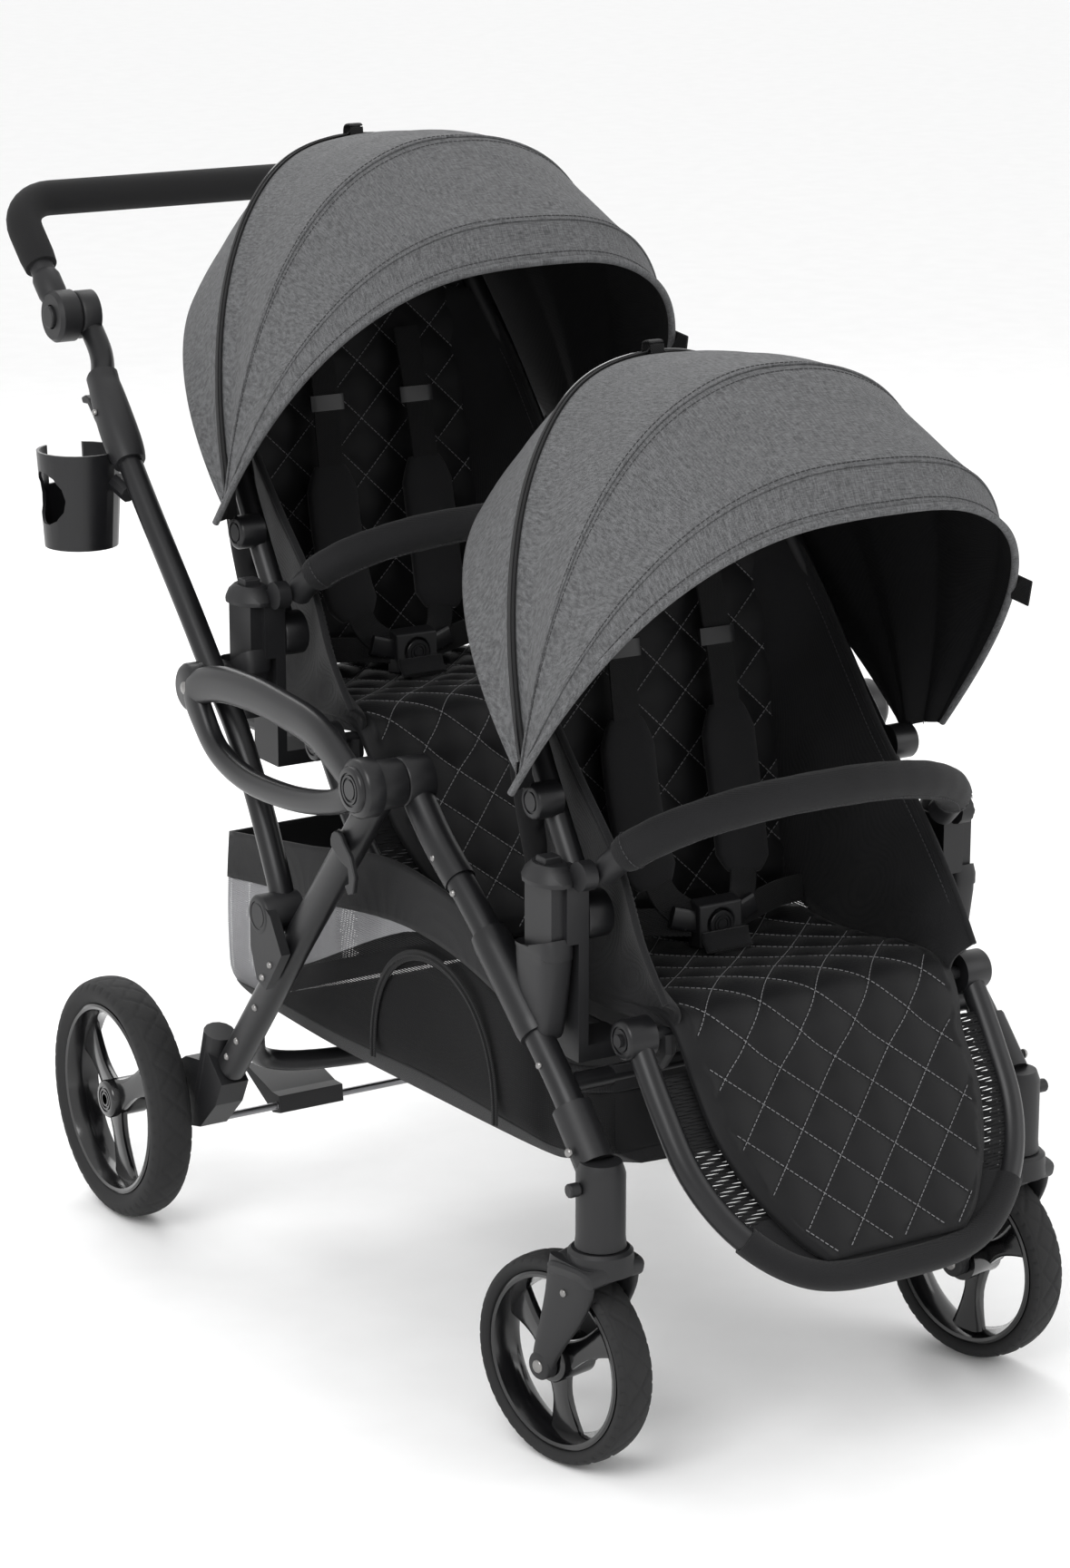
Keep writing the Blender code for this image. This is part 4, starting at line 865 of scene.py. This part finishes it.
def bumper(row, shift):
    """Bowed bar in a sewn cloth cover, with bare ends and a bolt on each pivot."""
    path, sizes = [], []
    steps = 64
    for i in range(steps + 1):
        a = pi * i / steps
        x = -0.186 * copysign(abs(cos(a)) ** (2 / 2.3), cos(a))
        reach = 0.100 * max(0.0, sin(a)) ** (2 / 2.3)
        path.append(Vector((x, BUMPER_AXIS[0] - reach * cos(BUMPER_RISE),
                            BUMPER_AXIS[1] + reach * sin(BUMPER_RISE))) + shift)
        ripple = 0.00018 * sin(i * 1.7) + 0.0002 * sin(i * 0.6)
        sizes.append(0.0176 + ripple)
    normal = (0, sin(BUMPER_RISE), cos(BUMPER_RISE))
    bm = bmesh.new()
    first, last = 5, steps - 4
    body = sizes[first:last]
    body[0] = body[-1] = 0.0158
    tube(bm, path[first:last], body, normal, 28)
    cover = finish_piece(f"{row}_bumper_cover", bm, WEAVE, f"{row}_bumper", (f"{row}_bumper_bar",))
    bm = bmesh.new()
    for run in (path[:first + 2], path[last - 2:]):
        tube(bm, run, 0.0134, normal, 24)
    finish_piece(f"{row}_bumper_ends", bm, PLASTIC, f"{row}_bumper")
    bm = bmesh.new()
    for index in (first + 2, last - 3):
        along = (path[index + 1] - path[index - 1]).normalized()
        up = Vector(normal)
        side = along.cross(up)
        loop = [path[index] + (up * cos(t) + side * sin(t)) * 0.0180
                for t in (2 * pi * j / 40 for j in range(41))]
        stitches(bm, loop)
    under = Vector(normal) * -0.0179
    stitches(bm, [p + under for p in path[first + 3:last - 3]])
    finish_piece(f"{row}_bumper_stitching", bm, DARK_THREAD, f"{row}_bumper")
    centre = (BUMPER_AXIS[0] + shift.y, BUMPER_AXIS[1] + shift.z)
    rivets(f"{row}_bumper_bolts", [(0.1995, *centre)], f"{row}_bumper", 0.0050)


# ---- canopy ----
def canopy_reach(angle):
    """Distance of the cloth from its pivot at an angle, and how much it sags between two bows."""
    for i in range(len(BOWS) - 1):
        if angle <= BOWS[i + 1] or i == len(BOWS) - 2:
            gap = BOWS[i + 1] - BOWS[i]
            share = min(1.0, max(0.0, (angle - BOWS[i]) / gap))
            reach = BOW_REACH[i] + (BOW_REACH[i + 1] - BOW_REACH[i]) * share
            return reach, sin(pi * share) * min(1.0, gap / 20)

def canopy_point(t, angle, lift, shift):
    """Point of the canopy: t runs from the right pivot over the top to the left one."""
    reach, sag = canopy_reach(angle)
    hood = 0.006 * min(1.0, max(0.0, (98 - angle) / 20))
    wrinkle = 0.0012 * sin(9 * t + angle * 0.21) * sin(angle * 0.34 + 2 * t)
    reach += hood + lift - 0.007 * sag * sin(t) + wrinkle * sin(t) ** 3
    flare = min(1.0, max(0.0, (100 - angle) / 50))
    half = 0.212 + hood * 0.6 + 0.024 * flare + lift - 0.004 * sag
    power = 2 / (2.25 + 0.40 * flare)
    x = -half * copysign(abs(cos(t)) ** power, cos(t))
    s = reach * sin(t) ** power
    a = radians(angle)
    return Vector((x, CANOPY_AXIS[0] - s * cos(a), CANOPY_AXIS[1] + s * sin(a))) + shift


def bow(angle, lift, shift, count=96):
    """Line over the canopy from pivot to pivot, raised off the cloth by lift."""
    first, last = 1.2, 178.8
    return [canopy_point(radians(first + (last - first) * i / count), angle, lift, shift)
            for i in range(count + 1)]


def canopy(row, shift):
    """One cloth over the bows, with its zip, piping, sewing and loop, and the tubes that hold it."""
    fold = (("back", "hood"), (-0.285, 0.93), (-0.455, 0.93))
    angles = [BOWS[-1] + (BOWS[0] - BOWS[-1]) * k / 72 for k in range(73)]
    bm = bmesh.new()
    grid(bm, [bow(angle, 0.0, shift) for angle in angles])
    cloth = finish_piece(f"{row}_canopy", bm, (MELANGE, LINING), angle=80, outward=False)
    middle = cloth.data.polygons[len(cloth.data.polygons) // 2]
    outward = middle.center - Vector((0, *CANOPY_AXIS)) - shift
    if middle.normal.dot(outward) < 0:
        cloth.data.flip_normals()
    bend((cloth,), row, *fold, shift)
    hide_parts(f"{row}_canopy_rear", f"{row}_canopy_hood")
    make_sheet(cloth, 0.0016, lining=True)
    bm = bmesh.new()
    tube(bm, bow(ZIP, 0.0008, shift), (0.0068, 0.0011), (1, 0, 0.02), 10, power=5)
    zip_tape = finish_piece(f"{row}_canopy_zip_tape", bm, WEBBING)
    bm = bmesh.new()
    tube(bm, bow(ZIP, 0.0024, shift, count=140), 0.0016, (1, 0, 0.02), 8)
    low = canopy_point(radians(4), ZIP, 0.004, shift)
    tube(bm, [low, low + Vector((0, 0.001, -0.022))], (0.0038, 0.0012), (0, 1, 0.1), 10, power=4)
    teeth = finish_piece(f"{row}_canopy_zip", bm, GLOSS)
    bm = bmesh.new()
    for angle, size in ((BOWS[2], 0.0013), (BOWS[1], 0.0012)):
        tube(bm, bow(angle, 0.0004, shift), size, (1, 0, 0.02), 8)
    rim = bow(BOWS[0], 0.0, shift)
    tube(bm, rim, 0.0036, (1, 0, 0.02), 12)
    piping = finish_piece(f"{row}_canopy_piping", bm, MELANGE)
    bm = bmesh.new()
    stitches(bm, bow(BOWS[0] + 1.4, 0.0006, shift, count=200))
    for angle in (BOWS[2] + 1.2, BOWS[2] - 1.2, BOWS[1] + 0.9):
        stitches(bm, bow(angle, 0.0004, shift, count=200))
    sewing = finish_piece(f"{row}_canopy_stitching", bm, DARK_THREAD)
    bm = bmesh.new()
    top = canopy_point(pi / 2, ZIP, 0.0, shift)
    loop = curve([top + Vector((0, 0.008, -0.002)), top + Vector((0, 0.006, 0.010)),
                  top + Vector((0, -0.006, 0.012)), top + Vector((0, -0.008, 0.001))], 8)
    tube(bm, loop, (0.0075, 0.0010), (0, 0.3, 1), 10, power=5)
    tag = canopy_point(radians(148), BOWS[0], 0.001, shift)
    tube(bm, [tag, tag + Vector((0.004, -0.020, -0.004))], (0.0125, 0.0010), (1, 0, 0), 10, power=6)
    trims = finish_piece(f"{row}_canopy_loop", bm, WEBBING)
    bend((zip_tape, teeth, piping, sewing, trims), row, *fold, shift)
    bm = bmesh.new()
    for sign in SIDES.values():
        centre = (CANOPY_AXIS[0] + shift.y, CANOPY_AXIS[1] + shift.z)
        disc(bm, sign * 0.1850, sign * 0.2120, centre, 0.017, (0.010,), 0.003)
        path = curve([(sign * 0.184, -0.388, 0.506), (sign * 0.184, -0.340, 0.578),
                      (sign * 0.177, -0.285, 0.650), (sign * 0.164, -0.235, 0.735),
                      (sign * 0.140, -0.196, 0.820)], 8)
        tube(bm, moved(path, shift), 0.0115, (1, 0, 0), 20)
        hinge = (RECLINE_AXIS[0] + shift.y, RECLINE_AXIS[1] + shift.z)
        disc(bm, sign * 0.1705, sign * 0.1965, hinge, 0.022, (0.014,), 0.003)
    finish_piece(f"{row}_back_tubes", bm, TUBE, f"{row}_back", angle=35)


for row, shift in SEATS.items():
    seat_cushions(row, shift)
    seat_sides(row, shift)
    harness(row, shift)
    footrest(row, shift)
    bumper(row, shift)
    canopy(row, shift)


# ---- basket ----
BASKET = [(-0.432, 0.361, 0.264, 0.178), (-0.352, 0.352, 0.246, 0.196), (-0.300, 0.432, 0.240, 0.203),
          (-0.100, 0.470, 0.234, 0.206), (0.100, 0.440, 0.228, 0.206), (0.268, 0.412, 0.226, 0.200)]


basket_line = curve(BASKET, 8)

def basket_sheet(name, low, high, mat, thick=0.0012, levels=10):
    """One level of the basket's wall, all the way round, between two shares of its height."""
    rows = []
    for k in range(levels + 1):
        right, left = [], []
        for i, (y, top, floor, wide) in enumerate(basket_line):
            first, last = [bound(y) if callable(bound) else bound for bound in (low, high)]
            share = first + (last - first) * k / levels
            inset = 0.028 * max(0.0, 1 - share / 0.25) ** 2
            belly = 0.005 * sin(pi * share) * sin(i * 0.5)
            x, z = wide - inset + belly, floor + (top - floor) * share
            right.append(Vector((-x, y, z)))
            left.append(Vector((x, y, z)))
        back = [Vector((right[-1].x * (1 - 2 * j / 12), right[-1].y + 0.006 * sin(pi * j / 12),
                        right[-1].z)) for j in range(1, 12)]
        front = [Vector((left[0].x * (1 - 2 * j / 12), left[0].y, left[0].z)) for j in range(1, 12)]
        rows.append(right + back + left[::-1] + front + [right[0]])
    bm = bmesh.new()
    grid(bm, rows)
    bmesh.ops.remove_doubles(bm, verts=bm.verts, dist=0.00001)
    piece = finish_piece(name, bm, mat, "chassis", angle=80)
    make_sheet(piece, thick)
    return piece

def mesh_divide(y):
    """Height share at which the basket's dark lower mesh gives way to the open upper mesh."""
    rise = min(1.0, max(0.0, (0.17 - y) / 0.05))
    taper = min(1.0, max(0.0, (0.12 - y) / 0.24))
    return 0.13 + 0.25 * rise * rise * (3 - 2 * rise) + 0.365 * taper


band = basket_sheet("basket_band", 0.74, 1.0, WEAVE, 0.003)
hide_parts("storage_basket")
basket_sheet("basket_open_mesh", mesh_divide, 0.75, PALE_MESH, levels=14)
basket_sheet("basket_dark_mesh", 0.12, mesh_divide, MESH, levels=14)
basket_sheet("basket_side", 0.0, 0.13, WEAVE, 0.0016)
bm = bmesh.new()
floor_rows = []
for y, top, floor, wide in basket_line:
    half = wide - 0.028
    floor_rows.append([Vector((half * (j / 12 - 1), y, floor - 0.004 * sin(pi * j / 24)))
                       for j in range(25)])
grid(bm, floor_rows)
base = finish_piece("basket_floor", bm, WEAVE, "chassis", angle=80)
make_sheet(base, 0.003)
bm = bmesh.new()
for sign in SIDES.values():
    arch = [Vector((sign * 0.2105, -0.16 + 0.115 * cos(a), 0.262 + 0.130 * sin(a) ** 0.8))
            for a in (pi * i / 40 for i in range(41))]
    tube(bm, arch, (0.0055, 0.0010), (1, 0, 0), 8, power=4)
    tube(bm, [p + Vector((sign * 0.001, 0, 0)) for p in arch], 0.0015, (1, 0, 0), 8)
finish_piece("basket_zips", bm, WEBBING, "chassis")


# ---- stage, light and camera ----
def studio():
    """Wide pale floor, white surroundings and three soft lamps."""
    bm = bmesh.new()
    size = 40
    corners = ((-size, -size, 0), (size, -size, 0), (size, size, 0), (-size, size, 0))
    bm.faces.new([bm.verts.new(p) for p in corners])
    floor_mat = material("pale_floor", (0.94, 0.94, 0.94), 0.7, 0.0, 20, 0.0, 0.01)
    ground = finish_piece("floor", bm, floor_mat)
    ground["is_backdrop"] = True
    world = bpy.data.worlds.new("studio")
    world.use_nodes = True
    world.node_tree.nodes["Background"].inputs["Color"].default_value = (1, 1, 1, 1)
    world.node_tree.nodes["Background"].inputs["Strength"].default_value = 1.0
    bpy.context.scene.world = world
    lamps = (("key", (-2.6, -1.8, 3.0), 75, 2.0), ("fill", (2.8, -2.6, 2.0), 25, 2.5),
             ("back", (0.8, 2.8, 3.0), 60, 2.5))
    for name, place, power, width in lamps:
        light = bpy.data.lights.new(name, "AREA")
        light.energy = power
        light.size = width
        obj = bpy.data.objects.new(name, light)
        obj.location = place
        aim = Vector((0, 0, 0.5)) - Vector(place)
        obj.rotation_euler = aim.to_track_quat("-Z", "Y").to_euler()
        bpy.context.scene.collection.objects.link(obj)


def camera():
    """Three-quarter view from the front right, a little above."""
    data = bpy.data.cameras.new("camera")
    data.lens = 95.0
    data.sensor_width = 36.0
    obj = bpy.data.objects.new("camera", data)
    obj.location = (-2.088, -3.385, 1.594)
    obj.rotation_euler = (radians(90 - 15.43), 0, radians(-31.711))
    bpy.context.scene.collection.objects.link(obj)
    bpy.context.scene.camera = obj


studio()
camera()
bpy.context.scene.view_settings.view_transform = "Standard"
sizes = {"cad": cad_box, "visual": [list(corner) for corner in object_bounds()]}
